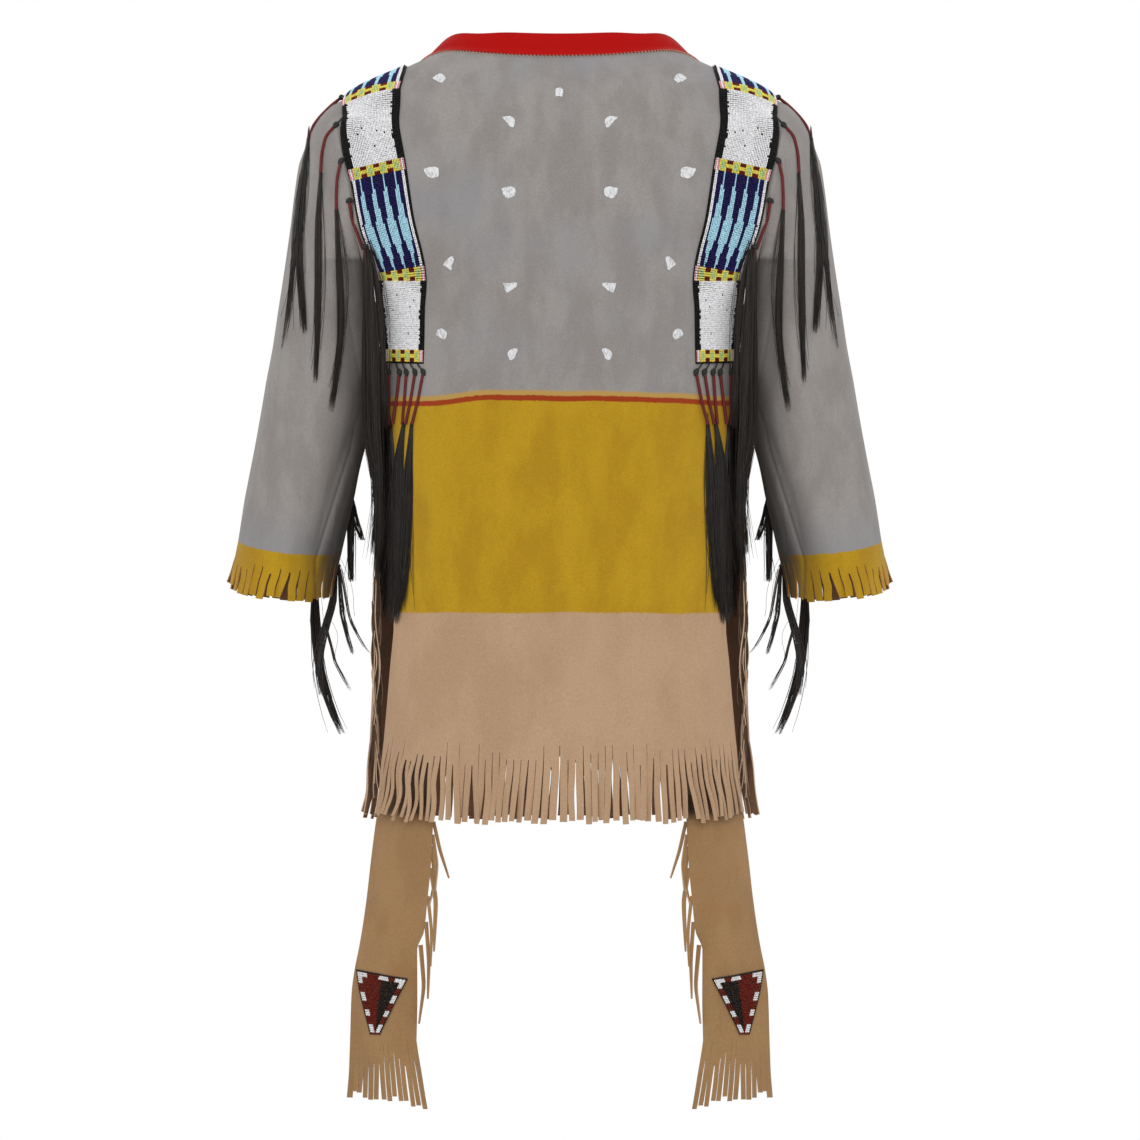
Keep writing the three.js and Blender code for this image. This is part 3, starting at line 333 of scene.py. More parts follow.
painted_buckskin = new_material("painted_buckskin", body_paint, nap, **HIDE_SHADER)
sleeve_buckskin = new_material("painted_sleeve_buckskin", sleeve_paint, nap, **HIDE_SHADER)
leg_buckskin = new_material("smoked_leg_buckskin", leg_tones, nap, **HIDE_SHADER)
flesh_side = plain_hide("buckskin_flesh_side", "#78543a", "#5f4230")
cut_edge = plain_hide("buckskin_cut_edge", "#c9ad92", "#8d6a4f")
ochre_cut_edge = plain_hide("ochre_stained_cut_edge", "#b07a30", "#8a5520")
print("hide materials:", len(bpy.data.materials))

# %% [markdown]
# ## Wool, glass and hair
#
# The neck band is fulled trade wool: a twill whose weave is felted over, so it is fuzzy, with a strong sheen
# and a fine diagonal at about 1 mm. Seed beads are opaque drawn glass with an IOR near 1.5 and a roughness of
# 0.35, so each has one small soft highlight. Horse hair is a smooth dark fibre: a little less rough than
# cloth, brown where the light comes through. The wraps on the locks are red thread, wound close.

# %% Colours of wool, beads, hair and thread
TWILL = 1.1
BEAD_GLASS = {
    "white": "#eeeef0", "navy": "#1e1650", "light_blue": "#b4dfee", "yellow": "#eadb62", "green": "#bcd494",
    "dark_red": "#6a1610", "pink": "#dc9ca6", "black": "#161617", "orange": "#d98a3c",
}
# each wool: its own colour, and a painted shade for the low places of its weave
WOOLS = {"red_trade_wool": ("#bd0905", "#8d0502"), "black_wool_backing": ("#1d1c1c", "#0e0e0e")}
FIBRES = {  # two tones, roughness and the size of the streaks in mm
    "dark_horse_hair": ("#15110e", "#2f251e", 0.5, 1.2),
    "red_wrapping_thread": ("#4a0406", "#7a0c0e", 0.7, 0.8),
    "black_knotted_thread": ("#121212", "#242321", 0.7, 0.8),
    "pale_sinew_thread": ("#b9a58c", "#d8cab2", 0.6, 0.8),
}


# %% Materials of wool, glass, fibre and chalk


def felted(tree, place):
    """The height of fulled wool: a faint diagonal twill under a felted face."""
    weave = {"Vector": place, "Scale": 0.32 / (TWILL * MM), "Distortion": 1.5, "Detail": 2}
    wale = add_node(tree, "TexWave", weave, "Fac", bands_direction="DIAGONAL")
    return grain(tree, place, [(0.9, 4, 1)], add_node(tree, "Math", (wale, 0.35), operation="MULTIPLY"))


def wool(name, code, dark):
    """Fulled wool, with painted shade between its wales."""

    def colour(tree, place):
        raised = add_node(tree, "MapRange", (felted(tree, place), 0.3, 1.1, 0, 1), **SMOOTH)
        return add_node(tree, "Mix", {0: raised, 6: linear(dark), 7: linear(code)}, **COLOURS)

    fuzz = {"Roughness": 0.95, "Specular_IOR_Level": 0.15, "Sheen_Weight": 0.12, "Sheen_Roughness": 0.4}
    return new_material(name, colour, felted, (0.5, 0.5), IOR=1.5, **fuzz)


def glass(name, code):
    """Opaque drawn glass, each bead a little lighter or darker than the next."""

    def colour(tree, place):
        return tinted(tree, linear(code), patches(tree, place, 2.4, 1, 0.35, 0.65, 0.88, 1.08))

    return new_material(name, colour, Roughness=0.35, IOR=1.5, Specular_IOR_Level=0.3)


def fibre(name, code, light, roughness, size):
    """Hair or thread: one dark tone streaked with a lighter one."""

    def colour(tree, place):
        streak = patches(tree, place, size, 2, 0.4, 0.7)
        return add_node(tree, "Mix", {0: streak, 6: linear(code), 7: linear(light)}, **COLOURS)

    return new_material(name, colour, Roughness=roughness, IOR=1.55, Specular_IOR_Level=0.4)


def brushed_chalk(tree, place):
    """Chalk in glue size, dabbed on: dry streaks a millimetre wide let the clay show through."""
    brushed = add_node(tree, "Mapping", {"Vector": place, "Rotation": (0, 0.6, 0), "Scale": (1, 1, 0.4)})
    thin = patches(tree, brushed, 1.7, 3, 0.42, 0.66, 0, 0.75)
    return add_node(tree, "Mix", {0: thin, 6: linear("#d6d7da"), 7: linear("#a3a1a1")}, **COLOURS)


bead_glass = {name: glass(f"{name}_bead_glass", code) for name, code in BEAD_GLASS.items()}
red_wool, black_wool = (wool(name, *tones) for name, tones in WOOLS.items())
horse_hair, red_thread, black_thread, sinew = (fibre(name, *looks) for name, looks in FIBRES.items())
chalk = new_material("white_chalk_paint", brushed_chalk, Roughness=0.9, IOR=1.5, Specular_IOR_Level=0.2)
print("materials:", len(bpy.data.materials))

# %% [markdown]
# ## The cut, in named sizes
#
# The shirt's form is a stack of rings: at each height a half width and a depth to the back and to the front.
# A ring is a rounded square rather than an ellipse, because a back is flatter than an oval. These are the
# sizes that the solids were built from, so cloth that is laid on them lands where the solids are.

# %% Sizes of the body, the side edges and the sleeve


def rows_of(names, rows):
    """A table's rows by the names of its columns."""
    return [dict(zip(names.split(), row)) for row in rows]


HIDE = 1.6
SEAM = 0.3
RING_POWER = 2.4  # 2 is an ellipse; more is squarer
BACK, FRONT = -1, 1
BODY = rows_of("z half back front", [
    (1, 148, 75, 72), (-42, 233, 100, 96), (-80, 248, 112, 108), (-115, 262, 118, 115),
    (-150, 279, 121, 119), (-180, 286, 122, 121), (-212, 262, 122, 121), (-240, 233, 121, 120),
    (-270, 213, 120, 119), (-305, 203, 119, 118), (-345, 200, 118, 117), (-480, 199, 116, 115),
    (-620, 200, 114, 114), (-750, 205, 118, 117), (-830, 210, 122, 120),
])
SIDE_EDGE = rows_of("z back front", [  # where each hide ends at its side, in degrees round the ring
    (-42, 90, 90), (-45, 82, 82), (-50, 76, 76), (-59, 71.5, 71.5), (-74, 67, 67), (-95, 61.5, 61.5),
    (-120, 55.5, 55.5), (-150, 49.7, 49.7), (-180, 47, 47), (-207, 48, 48), (-232, 51, 51), (-256, 56, 56),
    (-290, 63.5, 63.5), (-330, 64.8, 76), (-375, 63.8, 91), (-430, 62.5, 92), (-520, 61, 92),
    (-610, 60.5, 92), (-650, 62.5, 92), (-735, 65.5, 92),
])
# A sleeve's ring: height and place of its outer end, its inner end, its depth, flat share and cuff's dip.
SLEEVE = rows_of("z outer inner inner_z depth flat cuff", [
    (-48, 246, 204, -262, 84, 0.0, 0), (-60, 260, 205, -279, 81, 0.0, 0), (-87, 273, 206, -296, 77, 0.0, 0),
    (-132, 284, 207, -318, 72, 0.02, 0), (-196, 294, 210, -348, 68, 0.04, 0),
    (-262, 304, 213, -384, 65, 0.06, 0), (-336, 315, 217.5, -422, 62, 0.09, 0),
    (-406, 326, 223, -464, 59, 0.14, 0), (-472, 338, 231.5, -506, 57, 0.17, 0.5),
    (-536, 350.5, 241.4, -546, 56, 0.19, 1),
])
print("body rings:", len(BODY), "sleeve rings:", len(SLEEVE))

# %% [markdown]
# ## From a table to a smooth surface
#
# Between two rows of a table the value follows a cubic whose slope never makes it overshoot, so a ring can't
# bulge between the heights that were measured. NumPy works on whole grids at once, which keeps a fine mesh
# quick.

# %% Surface of the body


def cubic(t, first, second, leave, arrive):
    """A cubic at shares t of the way from one value to the next, with its slopes at both."""
    near = (2 * t**3 - 3 * t**2 + 1) * first + (t**3 - 2 * t**2 + t) * leave
    return near + (3 * t**2 - 2 * t**3) * second + (t**3 - t**2) * arrive


def column(table, name, z):
    """A table's column at heights z: a cubic through the rows that never overshoots them."""
    heights = np.array([row["z"] for row in table], float)[::-1]
    values = np.array([row[name] for row in table], float)[::-1]
    slopes = np.diff(values) / np.diff(heights)
    product, total = slopes[:-1] * slopes[1:], slopes[:-1] + slopes[1:]
    middle = np.where(product > 0, 2 * product / np.where(product > 0, total, 1), 0)
    tangents = np.concatenate([slopes[:1], middle, slopes[-1:]])
    z = np.asarray(z, float)
    k = np.clip(np.searchsorted(heights, z) - 1, 0, len(slopes) - 1)
    h = heights[k + 1] - heights[k]
    t = np.clip((z - heights[k]) / h, 0, 1)
    inside = cubic(t, values[k], values[k + 1], h * tangents[k], h * tangents[k + 1])
    over = np.maximum(z - heights[-1], 0) * tangents[-1] + np.minimum(z - heights[0], 0) * tangents[0]
    return inside + over


def depth_name(side):
    return "back" if side == BACK else "front"


def signed_power(value, power):
    return np.sign(value) * np.abs(value) ** power


def unit(vectors):
    return vectors / np.maximum(np.linalg.norm(vectors, axis=-1, keepdims=True), 1e-9)


def points_of(x, y, z):
    return np.stack(np.broadcast_arrays(x, y, z), axis=-1).astype(float)


def body_point(side, degrees, z):
    """Points of the body at an angle round its ring from the centre line."""
    angle = np.radians(degrees)
    x = column(BODY, "half", z) * signed_power(np.sin(angle), 2 / RING_POWER)
    y = side * column(BODY, depth_name(side), z) * signed_power(np.cos(angle), 2 / RING_POWER)
    return points_of(x, y, z)


def body_point_at(side, x, z):
    """Points of the body's back or front that lie at x across and z up."""
    share = np.minimum(1, np.abs(x) / column(BODY, "half", z))
    y = side * column(BODY, depth_name(side), z) * (1 - share**RING_POWER) ** (1 / RING_POWER)
    return points_of(x, y, z)


def lengths_along(line):
    """How far along a line each of its points is."""
    return np.concatenate([[0], np.cumsum(np.linalg.norm(np.diff(line, axis=0), axis=1))])


def at_lengths(at, lengths, line):
    """Points of a line at lengths along it."""
    return np.stack([np.interp(at, lengths, line[:, k]) for k in range(line.shape[1])], -1)


def body_size(y, z):
    """The body's half width at heights z, and its depth on the side that each y is on."""
    return column(BODY, "half", z), np.where(y < 0, column(BODY, "back", z), column(BODY, "front", z))


def body_field(p):
    """How far points lie from the body's surface, as a pure number, and the gradient there."""
    step = 0.5
    half, deep = body_size(p[..., 1], p[..., 2])
    upper, lower = body_size(p[..., 1], p[..., 2] + step), body_size(p[..., 1], p[..., 2] - step)
    half_slope, deep_slope = (upper[0] - lower[0]) / (2 * step), (upper[1] - lower[1]) / (2 * step)
    across, through = np.abs(p[..., 0] / half), np.abs(p[..., 1] / deep)
    gx = np.sign(p[..., 0]) * across ** (RING_POWER - 1) / half
    gy = np.sign(p[..., 1]) * through ** (RING_POWER - 1) / deep
    gz = -(across**RING_POWER) * half_slope / half - through**RING_POWER * deep_slope / deep
    return across**RING_POWER + through**RING_POWER - 1, RING_POWER * np.stack([gx, gy, gz], -1)


def body_normal(p):
    return unit(body_field(p)[1])


def onto_body(p):
    """Points moved to the body's surface along its gradient."""
    for _ in range(6):
        value, gradient = body_field(p)
        p = p - gradient * (value / (gradient**2).sum(-1))[..., None]
    return p


print("body's width at the waist in mm:", 2 * column(BODY, "half", BODY[-4]["z"]))

# %% [markdown]
# ## Cloth as a wall
#
# Hide has two faces and an edge that shows at every slit, so each piece is a closed wall and not a bare
# sheet. A grid of points and the same grid moved out by the hide's thickness give both faces. Cells can be
# left out: that is how a fringe is cut, as slits in the same hide, with no seam above the strands. Both faces
# get their own material, since the flesh side was never painted.

# %% Meshes from walls and tubes


def wall(grid, normals, thickness, kept=None, around=False):
    """Points, faces and their kinds (0 outer, 1 inner, 2 cut edge) of a closed wall with some cells kept."""
    rows, cols = grid.shape[:2]
    index = np.arange(rows * cols).reshape(rows, cols)
    if around:
        index = np.concatenate([index, index[:, :1]], axis=1)
    cells = np.ones((rows - 1, index.shape[1] - 1), bool) if kept is None else kept
    shift = rows * cols
    a, b, c, d = index[:-1, :-1], index[:-1, 1:], index[1:, 1:], index[1:, :-1]
    above = np.pad(cells, ((1, 0), (0, 0)))[:-1]
    below = np.pad(cells, ((0, 1), (0, 0)))[1:]
    left = np.roll(cells, 1, axis=1) if around else np.pad(cells, ((0, 0), (1, 0)))[:, :-1]
    right = np.roll(cells, -1, axis=1) if around else np.pad(cells, ((0, 0), (0, 1)))[:, 1:]
    inner = np.stack([a, b, c, d], -1)[cells]
    outer = np.stack([a, d, c, b], -1)[cells] + shift
    edges = []
    for start, end, beyond in ((a, b, above), (b, c, right), (c, d, below), (d, a, left)):
        open_edge = cells & ~beyond
        edges.append(np.stack([end, start, start + shift, end + shift], -1)[open_edge])
    edges = np.concatenate(edges)
    points = np.concatenate([grid.reshape(-1, 3), (grid + normals * thickness).reshape(-1, 3)])
    kinds = np.repeat([0, 1, 2], [len(outer), len(inner), len(edges)])
    return facing_out(points, np.concatenate([outer, inner, edges])), kinds


def facing_out(points, faces):
    """Faces turned over if they enclose a negative volume."""
    p = points[faces]
    corners = range(1, faces.shape[1] - 1)
    volume = sum(np.einsum("ij,ij->", p[:, 0], np.cross(p[:, k], p[:, k + 1])) for k in corners)
    return points, (faces if volume > 0 else faces[:, ::-1])


def tubes(paths, radii, sides=3, turn=0.0):
    """Closed tubes along many paths at once: paths is (tubes, points, 3), and radii (tubes, points)."""
    paths, radii = np.asarray(paths, float), np.asarray(radii, float)
    count, length = paths.shape[:2]
    ahead = unit(np.gradient(paths, axis=1))
    reference = np.where(np.abs(ahead[..., 1:2]) > 0.9, (1.0, 0, 0), (0, 1.0, 0))
    across = unit(np.cross(reference, ahead))
    other = np.cross(ahead, across)
    angle = turn + np.arange(sides) / sides * 2 * np.pi
    ring = across[:, :, None] * np.cos(angle)[:, None] + other[:, :, None] * np.sin(angle)[:, None]
    points = (paths[:, :, None] + ring * radii[:, :, None, None]).reshape(-1, 3)
    index = np.arange(count * length * sides).reshape(count, length, sides)
    after = np.roll(index, -1, axis=2)
    quads = np.stack([index[:, :-1], after[:, :-1], after[:, 1:], index[:, 1:]], -1).reshape(-1, 4)
    fan = np.arange(1, sides - 1)
    starts, ends = index[:, 0], index[:, -1]
    caps = [np.stack([starts[:, [0] * len(fan)], starts[:, fan + 1], starts[:, fan]], -1).reshape(-1, 3)]
    caps.append(np.stack([ends[:, [0] * len(fan)], ends[:, fan], ends[:, fan + 1]], -1).reshape(-1, 3))
    return points, [*quads.tolist(), *np.concatenate(caps).tolist()]


def listed(faces):
    """Faces as lists, since triangles and quads may be mixed."""
    return faces if isinstance(faces, list) else faces.tolist()


def piece(name, points, faces, materials, kinds=None, replaces=(), slot=None, smooth=35):
    """A mesh object of the given millimetre points that rides on the one body."""
    mesh = bpy.data.meshes.new(name)
    mesh.from_pydata((np.asarray(points) * MM).tolist(), [], listed(faces))
    for material in materials:
        mesh.materials.append(material)
    if kinds is not None:
        mesh.polygons.foreach_set("material_index", np.asarray(kinds, np.int32))
    mesh.shade_smooth()
    if smooth:
        mesh.set_sharp_from_angle(angle=math.radians(smooth))
    made = bpy.data.objects.new(name, mesh)
    bpy.context.scene.collection.objects.link(made)
    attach(made, "root")
    if replaces:
        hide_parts(*replaces)
    return made


def mirrored(points, faces):
    """The same piece for the other side, with its faces turned back."""
    return np.asarray(points) * (-1, 1, 1), [face[::-1] for face in listed(faces)]


def joined(parts):
    """Several (points, faces) as one; faces come back as a list."""
    points, faces, shift = [], [], 0
    for part_points, part_faces in parts:
        points.append(part_points)
        faces.extend([[v + shift for v in face] for face in listed(part_faces)])
        shift += len(part_points)
    return np.concatenate(points), faces


def piece_pair(name, points, faces, materials, kinds=None, replaces=(), **more):
    """A piece for the wearer's right, and its mirror for the left."""
    nodes = lambda side: [f"{node}_{side}" for node in replaces]
    right = piece(f"{name}_right", points, faces, materials, kinds, nodes("right"), **more)
    points, faces = mirrored(points, faces)
    return right, piece(f"{name}_left", points, faces, materials, kinds, nodes("left"), **more)


print("points and faces of a plain tube:", *map(len, tubes([[(0, 0, 0), (0, 0, 9)]], [[1, 1]])))

# %% [markdown]
# ## The two body hides, with their hem fringe
#
# A poncho cut: each hide reaches from the shoulder seam to the hem, and the sides stay open below the arm.
# Soft hide hangs in slow ripples, so the surface swells by a millimetre or two in wide, mostly upright waves.
# The hem is cut into strands 7 mm wide. Once cut, each strand dries its own way: it sways, twists and narrows
# a little. A simulation could do that, but strands of fixed length are quicker and steadier as chosen curves.

# %% Body hides
HEM_STRANDS = 60
HEM_STRANDS_ROUND = 9  # more at each side of the front hide, which reaches round the hip
STRAND_SHARE = 0.93  # of the pitch; the rest is the slit
HEM_END = {"side": -815, "middle": -823}
SHOULDER_TOP, HEM_EDGE, ARM_TOP = 1, -735, -42
HEM_DIP, HEM_DIP_REACH = 13, 60
NECK_DIP = {BACK: -4, FRONT: 33}
NECK_RISE = 28
NECK_DIP_REACH = 150
COLUMN_SPREAD = 1.15
HEM_REACH = 80  # how far below its root a strand's direction is measured
HEM_SPREAD_FROM, HEM_SPREAD_OVER = 112, 40  # the outer strands are turned and wavy from here on
BUNCH_SHARE, BUNCHES = 0.34, 97  # a new bunch of strands that sway together starts at this share of them
SWAY, SWAY_ALONE, OUTWARD_DRIFT = 7, 1.6, 10
TWIST, OUTWARD_TWIST = 38, 20
FRINGE_ROWS = 10
SLITS_FROM = HEM_EDGE + 26
RIPPLE_FROM, RIPPLE_GROWS_OVER = -60, 250
HIDE_ROWS = [  # from a height to another, in so many rows
    (SHOULDER_TOP, ARM_TOP, 9), (ARM_TOP, -75, 8), (-75, SLITS_FROM, 42), (SLITS_FROM, HEM_EDGE, 4),
]


def ripple(p):
    """How far hide swells out at points, in mm: upright waves that fade at the shoulders."""
    fade = np.clip((RIPPLE_FROM - p[..., 2]) / RIPPLE_GROWS_OVER, 0, 1)
    waves = np.sin(p[..., 0] / 31 + p[..., 2] / 290 + 0.8) + 0.7 * np.sin(p[..., 0] / 17 - p[..., 2] / 150)
    return fade * (1.8 + 0.75 * waves + 0.5 * np.sin(p[..., 2] / 47 + p[..., 0] / 80))


def edge_degrees(side, z):
    return np.where(z > SIDE_EDGE[0]["z"], 90, column(SIDE_EDGE, depth_name(side), z))


def row_height(side, edge_z, share):
    """Height of a row's point: level, but for the neckline's dip and bow and the hem's dip."""
    near_neck = np.maximum(0, 1 - (SHOULDER_TOP - edge_z) / NECK_DIP_REACH)
    on_shoulder = np.maximum(0, 1 - (SHOULDER_TOP - edge_z) / (SHOULDER_TOP - ARM_TOP))
    bow = NECK_RISE * on_shoulder * (share**2 - share**4) if side == BACK else 0
    near_hem = np.maximum(0, 1 - (edge_z - HEM_EDGE) / HEM_DIP_REACH)
    return edge_z + bow - (NECK_DIP[side] * near_neck + HEM_DIP * near_hem) * (1 - share**2)


def hem_shares(side):
    """The strands' shares on one hide. The front's are cut level with the back's, with more round the hip."""
    inner = strand_shares(HEM_STRANDS)
    if side == BACK:
        return inner
    within = (SIDE_EDGE[-1]["back"] / SIDE_EDGE[-1]["front"]) ** (1 / COLUMN_SPREAD)
    outer = within + (1 - within) * (strand_shares(HEM_STRANDS_ROUND) + 1) / 2
    outer[0] += 0.1 * (outer[2] - outer[0])
    return np.concatenate([-outer[::-1], inner * within, outer])


def strand_shares(count, filled=STRAND_SHARE):
    """Across shares from -1 to 1 for three points on each strand, the outer two at the hide's own edges."""
    centres = (2 * np.arange(count) + 1) / count - 1
    half = filled / count
    shares = (centres[:, None] + half * np.array([-1, 0, 1])).ravel()
    shares[0], shares[-1] = -1, 1
    return shares


def cut_fringe(edge, down, normal, lengths, amount, wild, spare=0):
    """Points and normals of strands below an edge that holds three points for each strand."""
    triples = edge.reshape(-1, 3, 3)
    count = len(triples)
    middle = triples[:, 1]
    side = unit(triples[:, 2] - triples[:, 0])
    half = np.linalg.norm(triples[:, 2] - triples[:, 0], axis=1) / 2
    draw = lambda low, high: rng.uniform(low, high, count + 2 * spare)[spare : spare + count]
    bunch = np.cumsum(draw(0, 1) < BUNCH_SHARE) % BUNCHES
    together = rng.uniform(-SWAY, SWAY, BUNCHES)[bunch]
    sway, lift = together * (1 - 0.7 * wild) + draw(-SWAY_ALONE, SWAY_ALONE), draw(-1.5, 4.5)
    outward = np.sign(middle[:, 0]) * wild
    twist, slim = np.radians(draw(-1, 1) * TWIST + OUTWARD_TWIST * outward), draw(0.75, 1.0)
    curl, turns = draw(0.2, 0.9) * (0.8 + 2.2 * wild), draw(3, 8) * (1 - wild) + draw(6.5, 8) * wild
    phase = draw(0, 6.3) * (1 - wild) + (2.4 + 0.5 * draw(-1, 1)) * wild
    grid, normals = [], []
    for t in np.arange(1, FRINGE_ROWS + 1) / FRINGE_ROWS:
        wave = curl * (np.sin(turns * t + phase) - np.sin(phase)) * min(1, 2 * t)
        across = amount * (sway * t**1.6 + wave + OUTWARD_DRIFT * outward * t)
        out = amount * (lift * t**2 + 0.6 * curl * np.sin(turns * t) * t)
        centre = middle + down * (lengths * t)[:, None] + side * across[:, None] + normal * out[:, None]
        angle = (twist * amount * (t + wild * (min(1, 2.5 * t) - t)))[:, None]
        turned = side * np.cos(angle) + normal * np.sin(angle)
        facing = normal * np.cos(angle) - side * np.sin(angle)
        width = half * (1 - (1 - slim) * amount**2 * t) * (1 - 0.24 * wild * min(1, 4 * t))
        row = centre[:, None] + turned[:, None] * (width[:, None, None] * np.array([-1, 0, 1])[:, None])
        grid.append(row.reshape(-1, 3))
        normals.append(np.repeat(facing, 3, axis=0))
    return np.array(grid), np.array(normals)


def slit_cells(rows, columns, above, below):
    """Which cells stay when slits between strands start up to some rows above the edge, or below it."""
    kept = np.ones((rows - 1 + FRINGE_ROWS, columns), bool)
    for slit in range(2, columns, 3):
        kept[rows - 1 - rng.integers(-below, above + 1) :, slit] = False
    return kept


def hide_cloth(side):
    """The grid, normals and kept cells of one body hide with its fringe."""
    shares = hem_shares(side)
    spans = [np.linspace(top, bottom, rows + 1)[:-1] for top, bottom, rows in HIDE_ROWS]
    edges = np.concatenate([*spans, [HEM_EDGE]])
    share, edge_z = np.meshgrid(shares, edges)
    spread = np.sign(share) * np.abs(share) ** COLUMN_SPREAD
    z = row_height(side, edge_z, np.abs(share))
    p = body_point(side, spread * edge_degrees(side, edge_z), z)
    p[..., 1] = np.where(np.abs(p[..., 1]) < SEAM / 2, side * SEAM / 2, p[..., 1])
    normals = body_normal(p)
    away_from_edge = np.clip((1 - np.abs(share)) / 0.06, 0, 1)
    p = p + normals * (ripple(p) * away_from_edge)[..., None]
    middles = p[-1].reshape(-1, 3, 3)[:, 1]
    centre_shares = shares.reshape(-1, 3)[:, 1]
    turn = np.sign(centre_shares) * np.abs(centre_shares) ** COLUMN_SPREAD * edge_degrees(side, HEM_EDGE)
    root_z = row_height(side, HEM_EDGE, np.abs(centre_shares))
    down = unit(body_point(side, turn, root_z - HEM_REACH) - body_point(side, turn, root_z))
    normal = unit(body_normal(middles) * (1, 1, 0))
    ends = HEM_END["middle"] + (HEM_END["side"] - HEM_END["middle"]) * centre_shares**6
    lengths = middles[:, 2] - ends + rng.uniform(-4, 2, len(middles))
    wild = np.clip((np.abs(middles[:, 0]) - HEM_SPREAD_FROM) / HEM_SPREAD_OVER, 0, 1)
    spare = HEM_STRANDS_ROUND if side == BACK else 0
    strands, strand_normals = cut_fringe(p[-1], down, normal, lengths, 1.0, wild, spare)
    grid = np.concatenate([p, strands])
    kept = slit_cells(len(edges), len(shares) - 1, 1, 2 if side == BACK else 4)
    return grid, np.concatenate([normals, strand_normals]), kept


hide_walls = {}
for side in (BACK, FRONT):
    rng = np.random.default_rng(11)  # both hides are slit at once, so their strands match
    grid, normals, kept = hide_cloth(side)
    (points, faces), kinds = wall(grid, normals, HIDE, kept)
    name = depth_name(side)
    skins, nodes = [painted_buckskin, flesh_side, cut_edge], [f"{name}_hide", f"{name}_hem_fringe"]
    made = piece(f"{name}_hide_cloth", points, faces, skins, kinds, nodes, slot="painted_hide")
    hide_walls[side] = (points, faces)
    print(made.name, "faces:", len(faces))

# %% [markdown]
# ## The sleeves
#
# A sleeve is one piece folded round the arm and sewn to the armhole. Its rings lie at a slant, since it hangs
# down and out, and its inner side is pressed flat against the arm's own fold. Creases start under the arm,
# where the sleeve has to bend, and run out of it like the ribs of a fan.

# %% Sleeves
SLEEVE_TOP = {"outer": 233, "outer_z": -42, "inner": 203, "inner_z": -246, "depth": 84}
SLEEVE_GAP = 0.45
CUFF_DIP = 9
CUFF_STRANDS = 34
CUFF_FRINGE = 34
SLEEVE_UPPER, SLEEVE_MIDDLE, CUFF_EDGE = -48, -140, -536  # heights of the outer end where the rows get wider
SLEEVE_UPPER_ROWS, SLEEVE_LOWER_ROWS = 17, 52
CUFF_FROM = -472.0  # a strand's direction at the cuff is measured from this ring


def sleeve_point(z, turn):
    """Points of the sleeve at a ring's outer height and a turn round it, 0 at the outer end."""
    ring = {name: column(SLEEVE, name, z) for name in ("outer", "inner", "inner_z", "depth", "flat", "cuff")}
    across = np.cos(turn)
    flat_from = -1 + 2 * ring["flat"]
    round_at = lambda c: np.sqrt(np.maximum(0, 1 - c * c))
    flat_share = (across + 1) / np.maximum(flat_from + 1, 1e-6)
    deep = np.where(across < flat_from, round_at(flat_from) * flat_share, round_at(across))
    t = (1 - across) / 2
    x = ring["outer"] + (ring["inner"] - ring["outer"]) * t
    y = -np.sign(np.sin(turn)) * ring["depth"] * deep
    return points_of(x, y, z + (ring["inner_z"] - z) * t - CUFF_DIP * ring["cuff"] * deep)


def armhole_ring(turns):
    """Points of the armhole's edge at turns round it, taken from a fine walk round the edge."""

    def down(side):
        z = np.concatenate([np.linspace(ARM_TOP, -60, 16)[1:], np.linspace(-60, -207, 40)[1:]])
        return body_point(side, edge_degrees(side, z), z) + (SLEEVE_GAP, 0, 0)

    def under(corner):
        turn = np.linspace(0, np.pi / 2, 12)[1:]
        x = SLEEVE_TOP["inner"] + (corner[0] - SLEEVE_TOP["inner"]) * np.cos(turn)
        z = corner[2] + (SLEEVE_TOP["inner_z"] - corner[2]) * np.sin(turn)
        return points_of(x, corner[1] * np.cos(turn), z)

    top = body_point(BACK, 90, ARM_TOP)[None] + (SLEEVE_GAP, 0, 0)
    back, front = down(BACK), down(FRONT)
    low_back, low_front = under(back[-1]), under(front[-1])
    walk = np.concatenate([top, back, low_back, low_front[-2::-1], front[::-1]])
    middle_z = (SLEEVE_TOP["outer_z"] + SLEEVE_TOP["inner_z"]) / 2
    half_height = (SLEEVE_TOP["outer_z"] - SLEEVE_TOP["inner_z"]) / 2
    angle = np.arctan2(-walk[:, 1] / SLEEVE_TOP["depth"], (walk[:, 2] - middle_z) / half_height)
    angle = np.where(angle < -1e-6, angle + 2 * np.pi, angle)
    order = np.argsort(angle)
    angle, walk = angle[order], walk[order]
    angle = np.concatenate([angle, [2 * np.pi + angle[0]]])
    walk = np.concatenate([walk, walk[:1]])
    return at_lengths(turns, angle, walk)


def grid_normals(grid, around):
    """Normals of a grid from its neighbours."""
    if around:
        across = np.roll(grid, -1, axis=1) - np.roll(grid, 1, axis=1)
    else:
        across = np.gradient(grid, axis=1)
    return unit(np.cross(across, np.gradient(grid, axis=0)))


FOLDS = [  # ends of each fold, x and z, then its width and depth in mm
    ((239, -212), (207, -216), 4.5, 3.6),
    ((243, -166), (224, -212), 6, 2.4),
    ((226, -222), (214, -370), 9, 3.0),
    ((252, -95), (240, -150), 9, 2.4),
    ((268, -100), (258, -165), 12, -2.0),
    ((207, -340), (218, -400), 5, 3.0),
    ((218, -400), (237.5, -455), 5, 4.0),
    ((237.5, -455), (252, -502), 5, 4.4),
    ((252, -502), (258, -536), 5, 4.0),
    ((262, -290), (280, -455), 15, 1.6),
    ((248, -120), (268, -260), 13, 1.8),
    ((300, -330), (322, -500), 14, -1.3),
]


